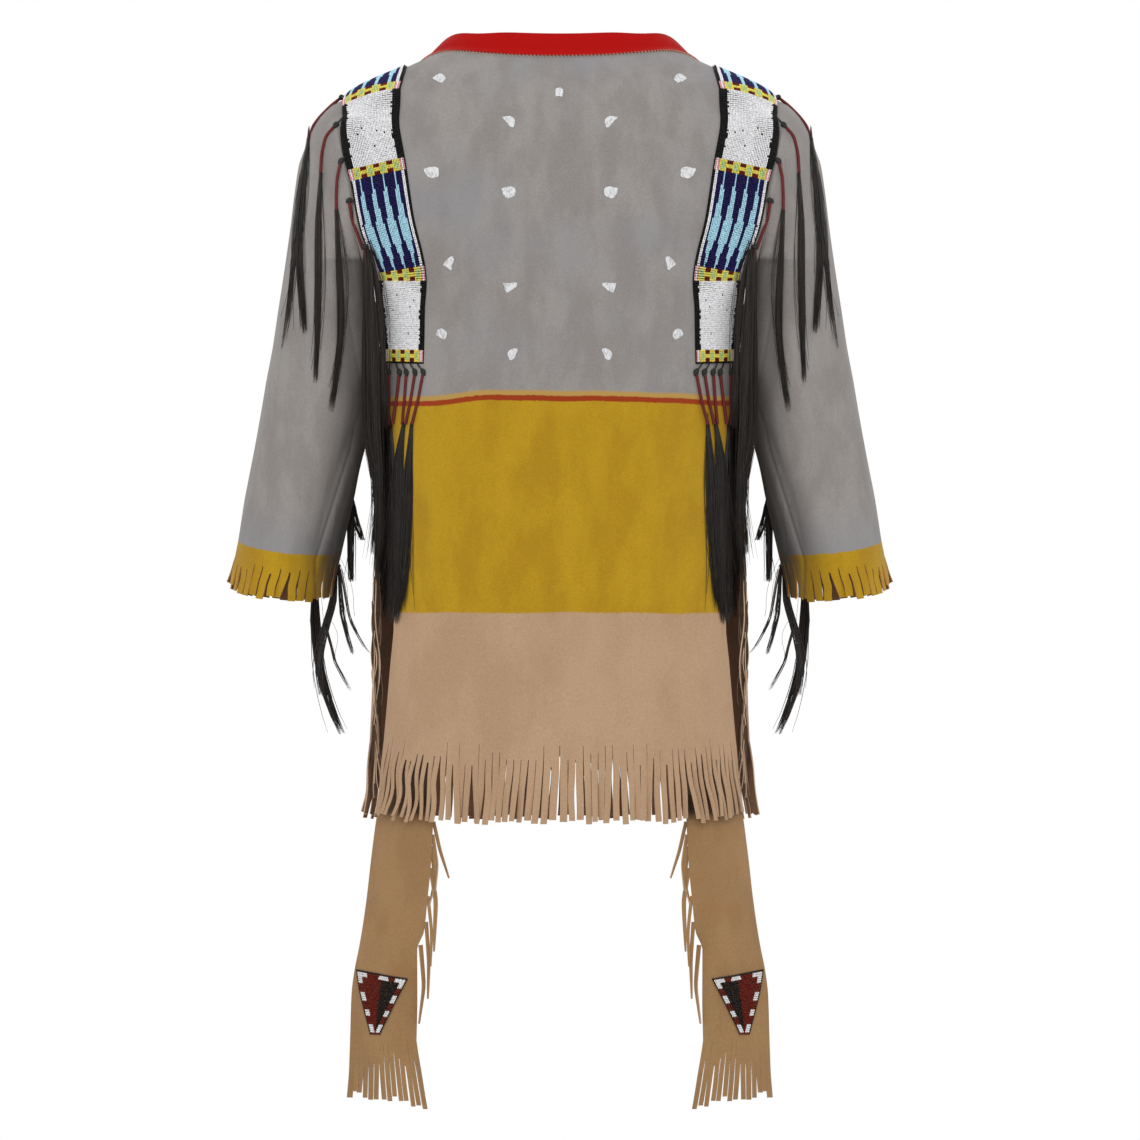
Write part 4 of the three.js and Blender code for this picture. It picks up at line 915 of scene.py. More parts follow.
def creased(p):
    """How far each fold lifts points of the sleeve, in mm: a ridge on its left, and a valley on its right."""
    height = np.zeros(p.shape[:-1])
    flat = p[..., [0, 2]]
    for start, end, width, deep in FOLDS:
        start, along = np.array(start), np.subtract(end, start)
        length = np.hypot(*along)
        share = ((flat - start) @ along) / length**2
        off = ((flat - start) @ np.array([along[1], -along[0]])) / length
        fade = np.clip((share + 0.12) / 0.24, 0, 1) * np.clip((1.12 - share) / 0.24, 0, 1)
        height += deep * fade * (off / width) * np.exp(0.5 - (off / width) ** 2 / 2)
    return height


def slow_swell(turns, z):
    """Slow upright waves round the sleeve."""
    waves = 1.0 * np.sin(3 * turns + z / 120) + 0.5 * np.sin(7 * turns - z / 70)
    return waves * np.clip((-90 - z) / 120, 0, 1) * np.clip((z + 530) / 60, 0.2, 1)


def sleeve_cloth():
    """The grid, normals and kept cells of the right sleeve with its cuff fringe."""
    centres = (np.arange(CUFF_STRANDS) + 0.5) / CUFF_STRANDS * 2 * np.pi
    half = STRAND_SHARE * np.pi / CUFF_STRANDS
    turns = (centres[:, None] + half * np.array([-1, 0, 1])).ravel()
    upper = np.linspace(SLEEVE_UPPER, SLEEVE_MIDDLE, SLEEVE_UPPER_ROWS + 1)[:-1]
    heights = np.concatenate([upper, np.linspace(SLEEVE_MIDDLE, CUFF_EDGE, SLEEVE_LOWER_ROWS)])
    turn, z = np.meshgrid(turns, heights)
    rings = sleeve_point(z, turn)
    hole = armhole_ring(turns % (2 * np.pi))
    seam_rows = [hole + (rings[0] - hole) * t for t in (0, 0.33, 0.66)]
    grid = np.concatenate([np.array(seam_rows), rings])
    normals = grid_normals(grid, True)
    normals = normals * np.sign(normals[30, 1, 0])
    normals[0] = body_normal(hole)
    beneath = hole[:, 2] < -215
    normals[0][beneath] = normals[2][beneath]
    swell = np.concatenate([np.zeros((3, len(turns))), slow_swell(turn, z)])
    fade = np.clip(np.arange(len(grid)) / 8, 0, 1)[:, None]
    grid = grid + normals * (swell + creased(grid) * fade)[..., None]
    middles = grid[-1].reshape(-1, 3, 3)[:, 1]
    down = unit(middles - sleeve_point(np.full(CUFF_STRANDS, CUFF_FROM), centres))
    normal = normals[-1].reshape(-1, 3, 3)[:, 1]
    lengths = CUFF_FRINGE - 3 * np.cos(centres) ** 2 + rng.uniform(-3, 3, CUFF_STRANDS)
    strands, strand_normals = cut_fringe(grid[-1], down, normal, lengths, 0.7, 0.2)
    step = np.linalg.norm(np.diff(grid, axis=0), axis=-1)
    to_cuff = np.concatenate([np.cumsum(step[::-1], axis=0)[::-1], np.zeros((1, len(turns)))])
    cuff_distance = np.concatenate([to_cuff, np.zeros((FRINGE_ROWS, len(turns)))])
    kept = slit_cells(len(grid), len(turns), 1, 2)
    return np.concatenate([grid, strands]), np.concatenate([normals, strand_normals]), kept, cuff_distance


grid, normals, kept, cuff_distance = sleeve_cloth()
(points, faces), kinds = wall(grid, normals, HIDE, kept, around=True)
sleeve_wall = (points, faces)
skins, nodes = [sleeve_buckskin, flesh_side, ochre_cut_edge], ["sleeve", "cuff_fringe"]
for made in piece_pair("sleeve_cloth", points, faces, skins, kinds, nodes, slot="painted_hide"):
    layer = made.data.attributes.new("cuff_distance", "FLOAT", "POINT")
    layer.data.foreach_set("value", np.tile((cuff_distance * MM).ravel(), 2).astype(np.float32))
    print(made.name, "faces:", len(made.data.polygons))

# %% [markdown]
# ## The neck band
#
# A folded strip of red wool binds the neckline. It stands up from the seam and leans in, more at the sides
# than at the back, because it follows the slope of the shoulder. Small pale whip stitches hold its lower
# edge.

# %% Neck band
COLLAR_WIDTH = 24
COLLAR_WALL = 2
COLLAR_LEAN = {"back": 0.29, "side": 0.66}
NECK_HALF = BODY[0]["half"]
NECK_POINTS = 120
COLLAR_DRAWN_IN = 0.03  # the band pulls the opening in at its sides by this share
BINDING_OVER = 2.4  # how far the band reaches down over the hide's edge
STRETCH_AT, STRETCH_OVER = 95, 24  # the band is pulled narrower this far from the centre line
COLLAR_RISES = (1, 0.87, 0.74, 0.6, 0.45, 0.3, 0.15, 0, -0.5, -1)


def neckline(lower=0.0):
    """The neckline all round, or a row of both hides that many millimetres lower."""
    share = np.sin(np.linspace(-np.pi / 2, np.pi / 2, NECK_POINTS // 2 + 1))

    def row(side):
        spread = np.sign(share) * np.abs(share) ** COLUMN_SPREAD
        return body_point(side, 90 * spread, row_height(side, SHOULDER_TOP, np.abs(share)))

    line = np.concatenate([row(BACK), row(FRONT)[-2:0:-1]])
    half, depth = body_size(line[:, 1], line[:, 2])
    lower_half, lower_depth = body_size(line[:, 1], line[:, 2] + lower)
    return line * points_of(lower_half / half, lower_depth / depth, 1) + points_of(0, 0, lower + 0 * half)


def collar_row(rise):
    """The band's row at a share of its height above the neckline, or below it, folded over the hide."""
    p = neckline()
    to_side = np.minimum(1, np.abs(p[:, :1]) / NECK_HALF)
    drawn_in = 1 - points_of(COLLAR_DRAWN_IN * to_side[:, 0] ** 10, 0, 0)
    if rise <= 0:
        low = neckline(BINDING_OVER * rise * (1 - to_side[:, 0] ** 3))
        return (low + body_normal(low) * (HIDE + SEAM)) * drawn_in
    p = p * drawn_in
    lean = COLLAR_LEAN["back"] + (COLLAR_LEAN["side"] - COLLAR_LEAN["back"]) * to_side**4
    inward = unit(p * (-1, -1, 0))
    stretched = 2.6 + 3.2 * np.exp(-(((np.abs(p[:, :1]) - STRETCH_AT) / STRETCH_OVER) ** 2))
    climb = HIDE + SEAM + rise * (COLLAR_WIDTH - stretched - 4 * to_side**6 - 7 * to_side**14)
    bulge = 1.0 * np.sin(np.pi * rise)
    return p + inward * (lean * climb - bulge) + points_of(0, 0, (np.sqrt(1 - lean**2) * climb)[:, 0])


grid = np.array([collar_row(rise) for rise in COLLAR_RISES])
normals = grid_normals(grid, True)
normals = normals * -np.sign((normals[4] * grid[4]).sum(-1).mean())
(points, faces), kinds = wall(grid, -normals, COLLAR_WALL, around=True)
collar = piece("neck_band_cloth", points, faces, [red_wool], None, ["neck_band"], slot="red_wool")
print(collar.name, "faces:", len(faces))

# %% [markdown]
# ## The legs of the hide
#
# The back hide is a whole skin, so its hind legs are left on and hang below the hem. Here each leg is a strip
# of its own that starts inside the hem. Its upper end lies against the hide, and below the hem it hangs free
# and curls a little across, as a narrow strip of skin does. Its end is cut in strands of uneven length.

# %% Legs
# The leg's edges: how far across each of them is, and how far behind the middle it hangs.
LEG = rows_of("z outer inner outer_depth inner_depth", [
    (-722, 186, 134, 0, 0), (-748, 189, 134.5, 0, 0), (-786, 193, 135.5, 0, 0), (-825, 198, 136.6, 42, 90),
    (-865, 203, 138.5, 47, 90), (-905, 207.5, 142.5, 51, 91), (-940, 212.5, 146.5, 53, 86),
    (-960, 216, 154, 55, 83), (-985, 221, 154, 57, 81), (-1010, 224, 154, 59, 80),
    (-1058, 225.5, 155, 61, 80),
])
LEG_WALL = 1.5
LEG_CROWN = 12
LEG_LIES_TO, LEG_HANGS_FROM = -760, -830
LEG_STRANDS = 14
LEG_TOP, LEG_EDGE = -722, -1058
LEG_END = {"outer": -1121, "inner": -1134}
LEG_ROWS = 62
LEG_FILLED = 0.985  # of the strands' pitch
LEG_AMOUNT = 0.42  # how much its strands sway and turn, beside the hem's


def leg_point(share, z):
    """Points of the leg at a share of its width from the outer edge, and a height."""
    outer, inner, outer_depth, inner_depth = (column(LEG, name, z) for name in list(LEG[0])[1:])
    x = outer + (inner - outer) * share
    lying = body_point_at(BACK, x, z)
    lying = lying - body_normal(lying) * (LEG_WALL + 2 * SEAM)
    depth = outer_depth + (inner_depth - outer_depth) * share + LEG_CROWN * 4 * share * (1 - share)
    free = np.clip((LEG_LIES_TO - z) / (LEG_LIES_TO - LEG_HANGS_FROM), 0, 1)
    free = np.where(z > LEG_LIES_TO, 0, free * free * (3 - 2 * free))[..., None]
    fold = 3.5 * np.exp(-(((x - 172 + (z + 950) * 0.35) / 9) ** 2)) * np.exp(-(((z + 945) / 45) ** 2))
    wave = 1.2 * np.sin(x / 13 + z / 60) * np.clip((-800 - z) / 60, 0, 1)
    return lying * (1 - free) + points_of(x, -depth - fold - wave, z) * free


leg_shares = (strand_shares(LEG_STRANDS, LEG_FILLED) + 1) / 2
share, z = np.meshgrid(leg_shares, np.linspace(LEG_TOP, LEG_EDGE, LEG_ROWS))
grid = leg_point(share, z)
normals = grid_normals(grid, False)
normals = normals * np.sign(-normals[30, 10, 1])
middle = leg_shares.reshape(-1, 3)[:, 1]
down = unit(np.stack([0.03 - 0.17 * middle, 0 * middle, -1 + 0 * middle], -1))
ends = LEG_END["outer"] + (LEG_END["inner"] - LEG_END["outer"]) * middle**2
lengths = LEG_EDGE - ends + rng.uniform(-9, 3, LEG_STRANDS)
normal = normals[-1].reshape(-1, 3, 3)[:, 1]
strands, strand_normals = cut_fringe(grid[-1], down, normal, lengths, LEG_AMOUNT, 0.0)
kept = slit_cells(len(grid), len(leg_shares) - 1, 0, 4)
grid, normals = np.concatenate([grid, strands]), np.concatenate([normals, strand_normals])
(points, faces), kinds = wall(grid, normals, LEG_WALL, kept)
skins, nodes = [leg_buckskin, flesh_side, cut_edge], ["hide_leg", "leg_fringe"]
for made in piece_pair("hide_leg_cloth", points, faces, skins, kinds, nodes, slot="bare_hide"):
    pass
print("leg faces:", len(faces))

# %% [markdown]
# ## Laying one thing on another
#
# Beadwork and locks lie on cloth that is already there. A ray from outside finds how far out that cloth
# comes, and the piece is laid just clear of it. A beaded strip is stiff, so it bridges small hollows: the
# largest height near each point is taken first and then smoothed, which can never dip into the cloth below.

# %% Rays on the cloth


def tree_of(points, faces):
    return BVHTree.FromPolygons(np.asarray(points).tolist(), listed(faces))


def cover_over(points, normals, trees, reach=18):
    """How far out along each normal the outermost cloth lies; 0 where there is none."""
    covers = np.zeros(points.shape[:-1])
    for at in np.ndindex(covers.shape):
        ahead = Vector(normals[at])
        start = Vector(points[at]) + reach * ahead
        hits = [tree.ray_cast(start, -ahead, 2 * reach)[3] for tree in trees]
        covers[at] = max([reach - hit for hit in hits if hit is not None], default=0)
    return covers


def stiffened(height, reach=2):
    """Heights no lower than those given, with each step turned into a slope."""
    for combine in (np.max, np.mean):
        padded = np.pad(height, reach, mode="edge")
        windows = np.lib.stride_tricks.sliding_window_view(padded, (2 * reach + 1, 2 * reach + 1))
        height = combine(windows, axis=(-2, -1))
    return height


def between_points(grid, row, col):
    """A grid's value at fractional rows and columns."""
    r = np.clip(np.floor(row).astype(int), 0, grid.shape[0] - 2)
    c = np.clip(np.floor(col).astype(int), 0, grid.shape[1] - 2)
    t, s = (row - r)[..., None], (col - c)[..., None]
    upper = grid[r, c] * (1 - s) + grid[r, c + 1] * s
    return upper * (1 - t) + (grid[r + 1, c] * (1 - s) + grid[r + 1, c + 1] * s) * t


cloth = {name: tree_of(*made) for name, made in {**hide_walls, "sleeve": sleeve_wall}.items()}
print("trees:", len(cloth))

# %% [markdown]
# ## The felt of the beaded strips
#
# Beads are sewn on a backing of their own before the strip goes on the shirt, so that it can be taken off and
# used again. The backing is thin black felt, a little wider than the beadwork. It runs from the lower back
# over the shoulder seam and down the chest. The centre line is a curve through measured places, laid on the
# body.

# %% Strip backing
STRIP_WIDTH = 62
STRIP_LENGTH = 366  # from the shoulder to each end
# By length from the shoulder: the share of the strip's width, and how far its rows fan out.
STRIP_FORM = rows_of("along width fan", [
    (0, 1.12, 0.0), (30, 1.28, 0.2), (50, 1.28, 0.25), (80, 1.18, 0.16), (110, 1.08, 0.09),
    (190, 1.03, 0.0), (262, 0.94, 0.0), (366, 0.83, 0.0),
])
STRIP_LINE = [  # x and z of its middle, from the shoulder down
    (194.5, -25.3), (205, -43), (203, -75), (195, -122), (186, -176), (170.5, -228), (168, -270), (166, -340),
]
FELT = 1.0
STRIP_ROWS, STRIP_COLUMNS = 207, 13


def strip_route():
    """The centre line's points, from the back's end to the front's, and their lengths from the shoulder."""
    x, z = np.array(STRIP_LINE[1:], float).T
    top = onto_body(np.array([[STRIP_LINE[0][0], 0.0, STRIP_LINE[0][1]]]))
    knots = np.concatenate([body_point_at(BACK, x, z)[::-1], top, body_point_at(FRONT, x, z)])
    knots = np.concatenate([2 * knots[:1] - knots[1:2], knots, 2 * knots[-1:] - knots[-2:-1]])
    t = np.linspace(0, 1, 40, endpoint=False)[:, None]
    spans = zip(knots, knots[1:], knots[2:], knots[3:])
    curves = [cubic(t, b, c, (c - a) / 2, (d - b) / 2) for a, b, c, d in spans]
    route = onto_body(np.concatenate([*curves, knots[-2:-1]]))
    lengths = lengths_along(route)
    return route, lengths - lengths[np.argmax(route[:, 1] > 0)]


ROUTE, ROUTE_LENGTHS = strip_route()


def strip_form(along, name):
    """A column of the strip's form, at lengths from the shoulder."""
    return np.interp(np.abs(along), [row["along"] for row in STRIP_FORM], [row[name] for row in STRIP_FORM])


def strip_place(along, across):
    """Points on the body at lengths along the strip, and across it out to the sleeve."""
    share, fan = strip_form(along, "width"), strip_form(along, "fan")
    along, across = along - np.sign(along) * fan * across, across * share
    before, middle, after = (at_lengths(along + step, ROUTE_LENGTHS, ROUTE) for step in (-2, 0, 2))
    centre = onto_body(middle)
    outward = unit(np.cross(unit(after - before), body_normal(centre)))
    outward = outward * np.sign(outward[..., :1])
    return onto_body(centre + outward * np.asarray(across)[..., None])


along = np.linspace(-STRIP_LENGTH, STRIP_LENGTH, STRIP_ROWS)
across = np.linspace(-STRIP_WIDTH / 2, STRIP_WIDTH / 2, STRIP_COLUMNS)
grid = strip_place(*np.meshgrid(along, across, indexing="ij"))
normals = body_normal(grid)
strip_cover = stiffened(cover_over(grid, normals, list(cloth.values()))) + SEAM
strip_base = grid + normals * strip_cover[..., None]
strip_normals = grid_normals(strip_base, False)
strip_normals = strip_normals * np.sign((strip_normals * normals).sum(-1))[..., None]
(points, faces), kinds = wall(strip_base, strip_normals, FELT)
for made in piece_pair("strip_felt", points, faces, [black_wool], None, ["bead_strip"], slot="seed_beads"):
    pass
print("strip felt faces:", len(faces))

# %% [markdown]
# ## Seed beads, one by one
#
# The beads are sewn in rows across the strip, so a bead's hole points across it. A bead is about 1.5 mm long
# and 2.1 mm thick. Each is a small closed barrel of two rings and two poles. The pattern is a chart, counted
# in beads, from the shoulder down: light blue spindles on navy, small checked bars, and plain white.

# %% The bead chart
BEAD_LENGTH, BEAD_RADIUS = 1.56, 1.09
BEAD_COLUMNS = 38
BEADED_WIDTH = 60
BLOCKS = [  # from the shoulder down, with their rows
    ("blue", 23), ("check", 6), ("white", 39), ("check", 6),
    ("blue", 49), ("check", 6), ("white", 36), ("check", 6),
]
BEAD_ROWS = sum(rows for _, rows in BLOCKS)
SPINDLE = {  # share of the block's height, and the spindle's width in beads
    23: [(0, 4.6), (0.4, 3.8), (0.75, 2.6), (1, 1.6)],
    49: [
        (0, 1.4), (0.2, 2.2), (0.4, 4.0), (0.55, 5.6), (0.65, 6), (0.75, 5), (0.85, 3.2), (0.94, 1.8),
        (1, 1.2),
    ],
}


def spindle_colour(row, rows, col):
    """Navy with four light blue spindles, between two white lines and a black one."""
    edge = min(col, BEAD_COLUMNS - 1 - col)
    if edge < 3:
        return ("black", "white", "white")[edge]
    heights, widths = zip(*SPINDLE[rows])
    share = row / (rows - 1)
    width = np.interp(share, heights, widths)
    middle = 3.4 + 0.9 * share
    place = (col - 3) % 8 + 0.5
    return "light_blue" if middle - 0.5 * width <= place < middle + 0.5 * width else "navy"


def check_colour(row, col):
    """Yellow and green with dark red blocks, and pink at the edges."""
    edge = min(col, BEAD_COLUMNS - 1 - col)
    if edge < 3:
        return ("pink", "white", "pink")[edge]
    step = (col - 3) % 9
    if step > 4:
        return "dark_red" if row in (0, 1, 4, 5) else "yellow"
    return "green" if 1 <= step <= 3 and 1 <= row <= 4 else "yellow"


def bead_chart():
    """The colour of each bead of half a strip, by rows from the shoulder and columns from the outer edge."""
    chart = []
    for block, rows in BLOCKS:
        for row in range(rows):
            black_edge = (4 if len(chart) < BEAD_COLUMNS * BEAD_ROWS // 2 else 3) + int(rng.random() < 0.3)
            for col in range(BEAD_COLUMNS):
                if block == "blue":
                    chart.append(spindle_colour(row, rows, col))
                elif block == "check":
                    chart.append(check_colour(row, col))
                else:
                    chart.append("black" if min(col, BEAD_COLUMNS - 1 - col) < black_edge else "white")
    return np.array(chart).reshape(BEAD_ROWS, BEAD_COLUMNS)


CHART = bead_chart()
print("beads in the chart:", CHART.size)

# %% [markdown]
# ## Sewing the beads down
#
# Real beads aren't alike, and the thread that crosses under them is never quite straight. So each barrel gets
# a length and a radius of its own within a few hundredths, and it is turned and moved a little. A few white
# ones have come off. All beads of a strip are built at once from one list of points, which takes a fraction
# of a second.

# %% Barrels for beads
BEAD_SIDES = 4
BEAD_SHOULDER, BEAD_POLE = 0.34, 0.47  # where its rings and its poles lie, as shares of a bead's length
BEADS_LOST = 0.006  # the share of white beads that have come off


def strip_cell(along, across):
    """The strip's row and column, as fractions, at lengths along and across it."""
    row = (along + STRIP_LENGTH) / (2 * STRIP_LENGTH) * (STRIP_ROWS - 1)
    return row, (across + STRIP_WIDTH / 2) / STRIP_WIDTH * (STRIP_COLUMNS - 1)


def beads(centres, hole, outward, stretch=1.0):
    """Closed barrels at the centres, their holes along one direction: points and faces."""
    count = len(centres)
    along = np.cross(outward, hole)
    length = (BEAD_LENGTH * stretch * rng.uniform(0.93, 1.03, count))[:, None, None]
    radius = BEAD_RADIUS * rng.uniform(0.94, 1.03, count)[:, None, None]
    angle = np.arange(BEAD_SIDES) / BEAD_SIDES * 2 * np.pi + rng.uniform(-0.2, 0.2, (count, 1))
    ring = outward[:, None] * np.cos(angle)[..., None] + along[:, None] * np.sin(angle)[..., None]
    shoulder = hole[:, None] * length * BEAD_SHOULDER
    first, second = ring * radius - shoulder, ring * radius + shoulder
    poles = hole[:, None] * length * np.array([-BEAD_POLE, BEAD_POLE])[:, None]
    points = (centres[:, None] + np.concatenate([first, second, poles], axis=1)).reshape(-1, 3)
    k = np.arange(BEAD_SIDES)
    after = (k + 1) % BEAD_SIDES
    sides = np.stack([k, after, after + BEAD_SIDES, k + BEAD_SIDES], -1)
    low = np.stack([after, k, np.full(BEAD_SIDES, 2 * BEAD_SIDES)], -1)
    high = np.stack([k + BEAD_SIDES, after + BEAD_SIDES, np.full(BEAD_SIDES, 2 * BEAD_SIDES + 1)], -1)
    one = [*sides.tolist(), *low.tolist(), *high.tolist()]
    size = 2 * BEAD_SIDES + 2
    faces = [[v + at for v in face] for at in range(0, count * size, size) for face in one]
    return points, faces, len(one)


def beaded(name, centres, hole, outward, colours, stretch=1.0):
    """A pair of beadwork pieces, each bead with the glass of its colour."""
    points, faces, each = beads(centres, hole, outward, stretch)
    names = list(bead_glass)
    kinds = np.repeat([names.index(colour) for colour in colours], each)
    return piece_pair(name, points, faces, list(bead_glass.values()), kinds, slot="seed_beads", smooth=60)


for side in (BACK, FRONT):
    row, col = np.meshgrid(np.arange(BEAD_ROWS), np.arange(BEAD_COLUMNS), indexing="ij")
    row, col, colours = row.ravel(), col.ravel(), CHART.ravel()
    sewn = (colours != "white") | (rng.random(len(colours)) > BEADS_LOST)
    row, col, colours = row[sewn], col[sewn], colours[sewn]
    along = side * (row + 0.5) / BEAD_ROWS * (STRIP_LENGTH - 2) + rng.normal(0, 0.09, len(row))
    across = BEADED_WIDTH * (0.5 - (col + 0.5) / BEAD_COLUMNS) + rng.normal(0, 0.05, len(row))
    grid_row, grid_col = strip_cell(along, across)
    outward = unit(between_points(strip_normals, grid_row, grid_col))
    hole = between_points(strip_base, grid_row, grid_col + 0.3)
    hole = hole - between_points(strip_base, grid_row, grid_col - 0.3)
    hole = unit(hole - outward * (hole * outward).sum(-1, keepdims=True))
    centres = between_points(strip_base, grid_row, grid_col) + outward * (FELT + BEAD_RADIUS - 0.2)
    beaded(f"strip_beads_{depth_name(side)}", centres, hole, outward, colours, strip_form(along, "width"))
    print(depth_name(side), "beads:", len(centres))

strip_top = tree_of(*wall(strip_base, strip_normals, FELT + 2 * BEAD_RADIUS)[0])

# %% [markdown]
# ## Hair locks
#
# A lock is a bundle of horse hair, bent double over a thong and wound with red thread for a few centimetres.
# The thong is knotted at the strip's edge. Below the wrap the hair falls loose: it lies on the cloth as long
# as there is cloth under it, and hangs plumb beyond the last edge. The hairs are drawn as strands just under
# a millimetre thick, 50 to 120 to a lock, which gives the dark mass and loose ends of some hundreds of real
# ones.

# %% Paths laid on the shirt


def hung(paths, side, trees, lift):
    """Paths in x and z laid over the cloth on one side of the shirt, and plumb below its last edge."""
    paths = np.asarray(paths, float)
    depth = np.full(paths.shape[:2], NO_CLOTH)
    for at in np.ndindex(depth.shape):
        start = Vector((paths[at][0], side * RAY_FROM, paths[at][1]))
        hits = [tree.ray_cast(start, Vector((0, -side, 0)), 2 * RAY_FROM)[0] for tree in trees]
        depth[at] = max([side * hit.y for hit in hits if hit is not None], default=NO_CLOTH)
    depth = depth + np.asarray(lift)
    step = np.abs(np.diff(paths[..., 1], axis=1))
    depth[:, 0] = np.maximum(depth[:, 0], 0)
    for k in range(1, depth.shape[1]):
        depth[:, k] = np.maximum(depth[:, k], depth[:, k - 1] - FALL_IN * step[:, k - 1])
    for k in range(depth.shape[1] - 2, -1, -1):
        depth[:, k] = np.maximum(depth[:, k], depth[:, k + 1] - FALL_OUT * step[:, k])
    return points_of(paths[..., 0], side * depth, paths[..., 1])


def walked(corners, count):
    """Evenly spaced points on a line through corners, with its corners rounded off."""
    corners = np.asarray(corners, float)
    lengths = lengths_along(corners)
    line = at_lengths(np.linspace(0, lengths[-1], count), lengths, corners)
    for _ in range(max(1, count // 12)):
        line[1:-1] = (line[:-2] + 2 * line[1:-1] + line[2:]) / 4
    return line


WRAP_RADIUS, WRAP_PITCH = 1.7, 2.0
RAY_FROM = 400  # rays start this far out, in mm
FALL_IN, FALL_OUT = 0.12, 0.9  # how steeply a hanging lock may come in below an edge, and stand out above it
NO_CLOTH = -1e3
HAIR_POINTS, FLYAWAY_POINTS = 10, 14
LINE_POINTS, FLYAWAY_LINE_POINTS = 60, 40  # on a lock's own line
HAIR_RADIUS, SLEEVE_HAIR_RADIUS, FLYAWAY_RADIUS = 0.45, 0.6, 0.24
HAIR_LIES = 0.7  # how far above the cloth the lowest hairs lie
SHORT_SHARE, STRAY_SHARE = 0.18, 0.1
hair_parts, wrap_parts, knot_parts = [], [], []


def wrapped_stem(line):
    """A stem wound with thread: close rings along its line."""
    turns = max(3, int(lengths_along(line)[-1] / WRAP_PITCH))
    path = walked(line, 2 * turns + 1)
    radii = WRAP_RADIUS * np.where(np.arange(len(path)) % 2, 1.08, 0.9)
    return tubes(path[None], radii[None], 6)


def knot(place, ahead, size=3.2):
    """A thong's knot, drop-shaped along a direction."""
    share = np.array([-1, -0.75, -0.3, 0.2, 0.65, 1.0])
    path = place + unit(ahead) * share[:, None] * size * 1.4
    return tubes(path[None], np.array([[0.15, 0.6, 0.95, 1, 0.6, 0.2]]) * size, 7)


def clump(corners, count, width, side, trees, ends, radius=HAIR_RADIUS):
    """Loose hairs along corners in x and z: most lie close, a few are shorter, curl or stray."""
    t = np.linspace(0, 1, HAIR_POINTS)
    line = walked(corners, LINE_POINTS)
    short = rng.random(count) < SHORT_SHARE
    reach = np.where(short, rng.uniform(0.45, 0.9, count), rng.uniform(ends, 1.0, count))
    x, z = at_lengths(reach[:, None] * t * (LINE_POINTS - 1), np.arange(LINE_POINTS), line).transpose(2, 0, 1)
    lane = rng.uniform(-1, 1, (count, 1))
    full = 1.5 + (width / 2 - 1.5) * np.clip(3.2 * t * reach[:, None], 0, 1) * (1 - 0.45 * t**3)
    strays = rng.random((count, 1)) < STRAY_SHARE
    stray = np.where(strays, rng.normal(0, 1, (count, 1)) * width * 0.45, 0) * t**2
    turns = rng.uniform(0.5, 1.5, (count, 1))
    curl = rng.uniform(0.2, 1.2, (count, 1)) * np.sin(2 * np.pi * (t * turns + rng.random((count, 1)))) * t
    heap = min(4.5, width / 2) * (1 - 0.6 * lane**2)
    lift = HAIR_LIES + rng.uniform(0, 1, (count, 1)) * heap * np.ones_like(t)
    paths = hung(np.stack([x + lane * full + stray + curl, z], -1), side, trees, lift)
    radii = rng.uniform(0.7, 1.2, (count, 1)) * radius * (1 - 0.7 * t**4)
    hair_parts.append(tubes(paths, radii, 3, rng.uniform(0, 2)))


def flyaways(corners, count, side, trees):
    """A few single hairs that loop away from a lock."""
    t = np.linspace(0, 1, FLYAWAY_POINTS)
    line = walked(corners, FLYAWAY_LINE_POINTS)
    where = rng.uniform(0.55, 1.0, (count, 1)) * t * (FLYAWAY_LINE_POINTS - 1)
    x, z = at_lengths(where, np.arange(FLYAWAY_LINE_POINTS), line).transpose(2, 0, 1)
    bow = rng.uniform(-9, 2.5, (count, 1)) * np.sin(np.pi * t * rng.uniform(0.7, 1.3, (count, 1)))
    paths = hung(np.stack([x + bow, z + rng.uniform(0, 12, (count, 1))], -1), side, trees, 1.2)
    hair_parts.append(tubes(paths, np.full(paths.shape[:2], FLYAWAY_RADIUS), 3))


def stem(root, places, side, trees):
    """A lock's thong from its root to its knot, and the wrapped stem below the knot."""
    line = hung(walked(places, 16)[None], side, trees, WRAP_RADIUS + 0.4)[0]
    thong = np.stack([np.asarray(root, float), (root + line[0]) / 2, line[0]])
    knot_parts.append(tubes(thong[None], np.full((1, 3), 0.9), 5))
    knot_parts.append(knot(line[0], line[1] - root))
    wrap_parts.append(wrapped_stem(line))


print("hair radius in mm:", HAIR_RADIUS)

# %% [markdown]
# ## Where the locks hang
#
# Every lock is a thong from the strip's edge, a wound stem, and one clump of loose hair below it. The tables
# give their places in x and z, and the depth comes from the cloth below them. The upper locks swing out over
# the sleeve, and the lower ones fall close together beside the body.

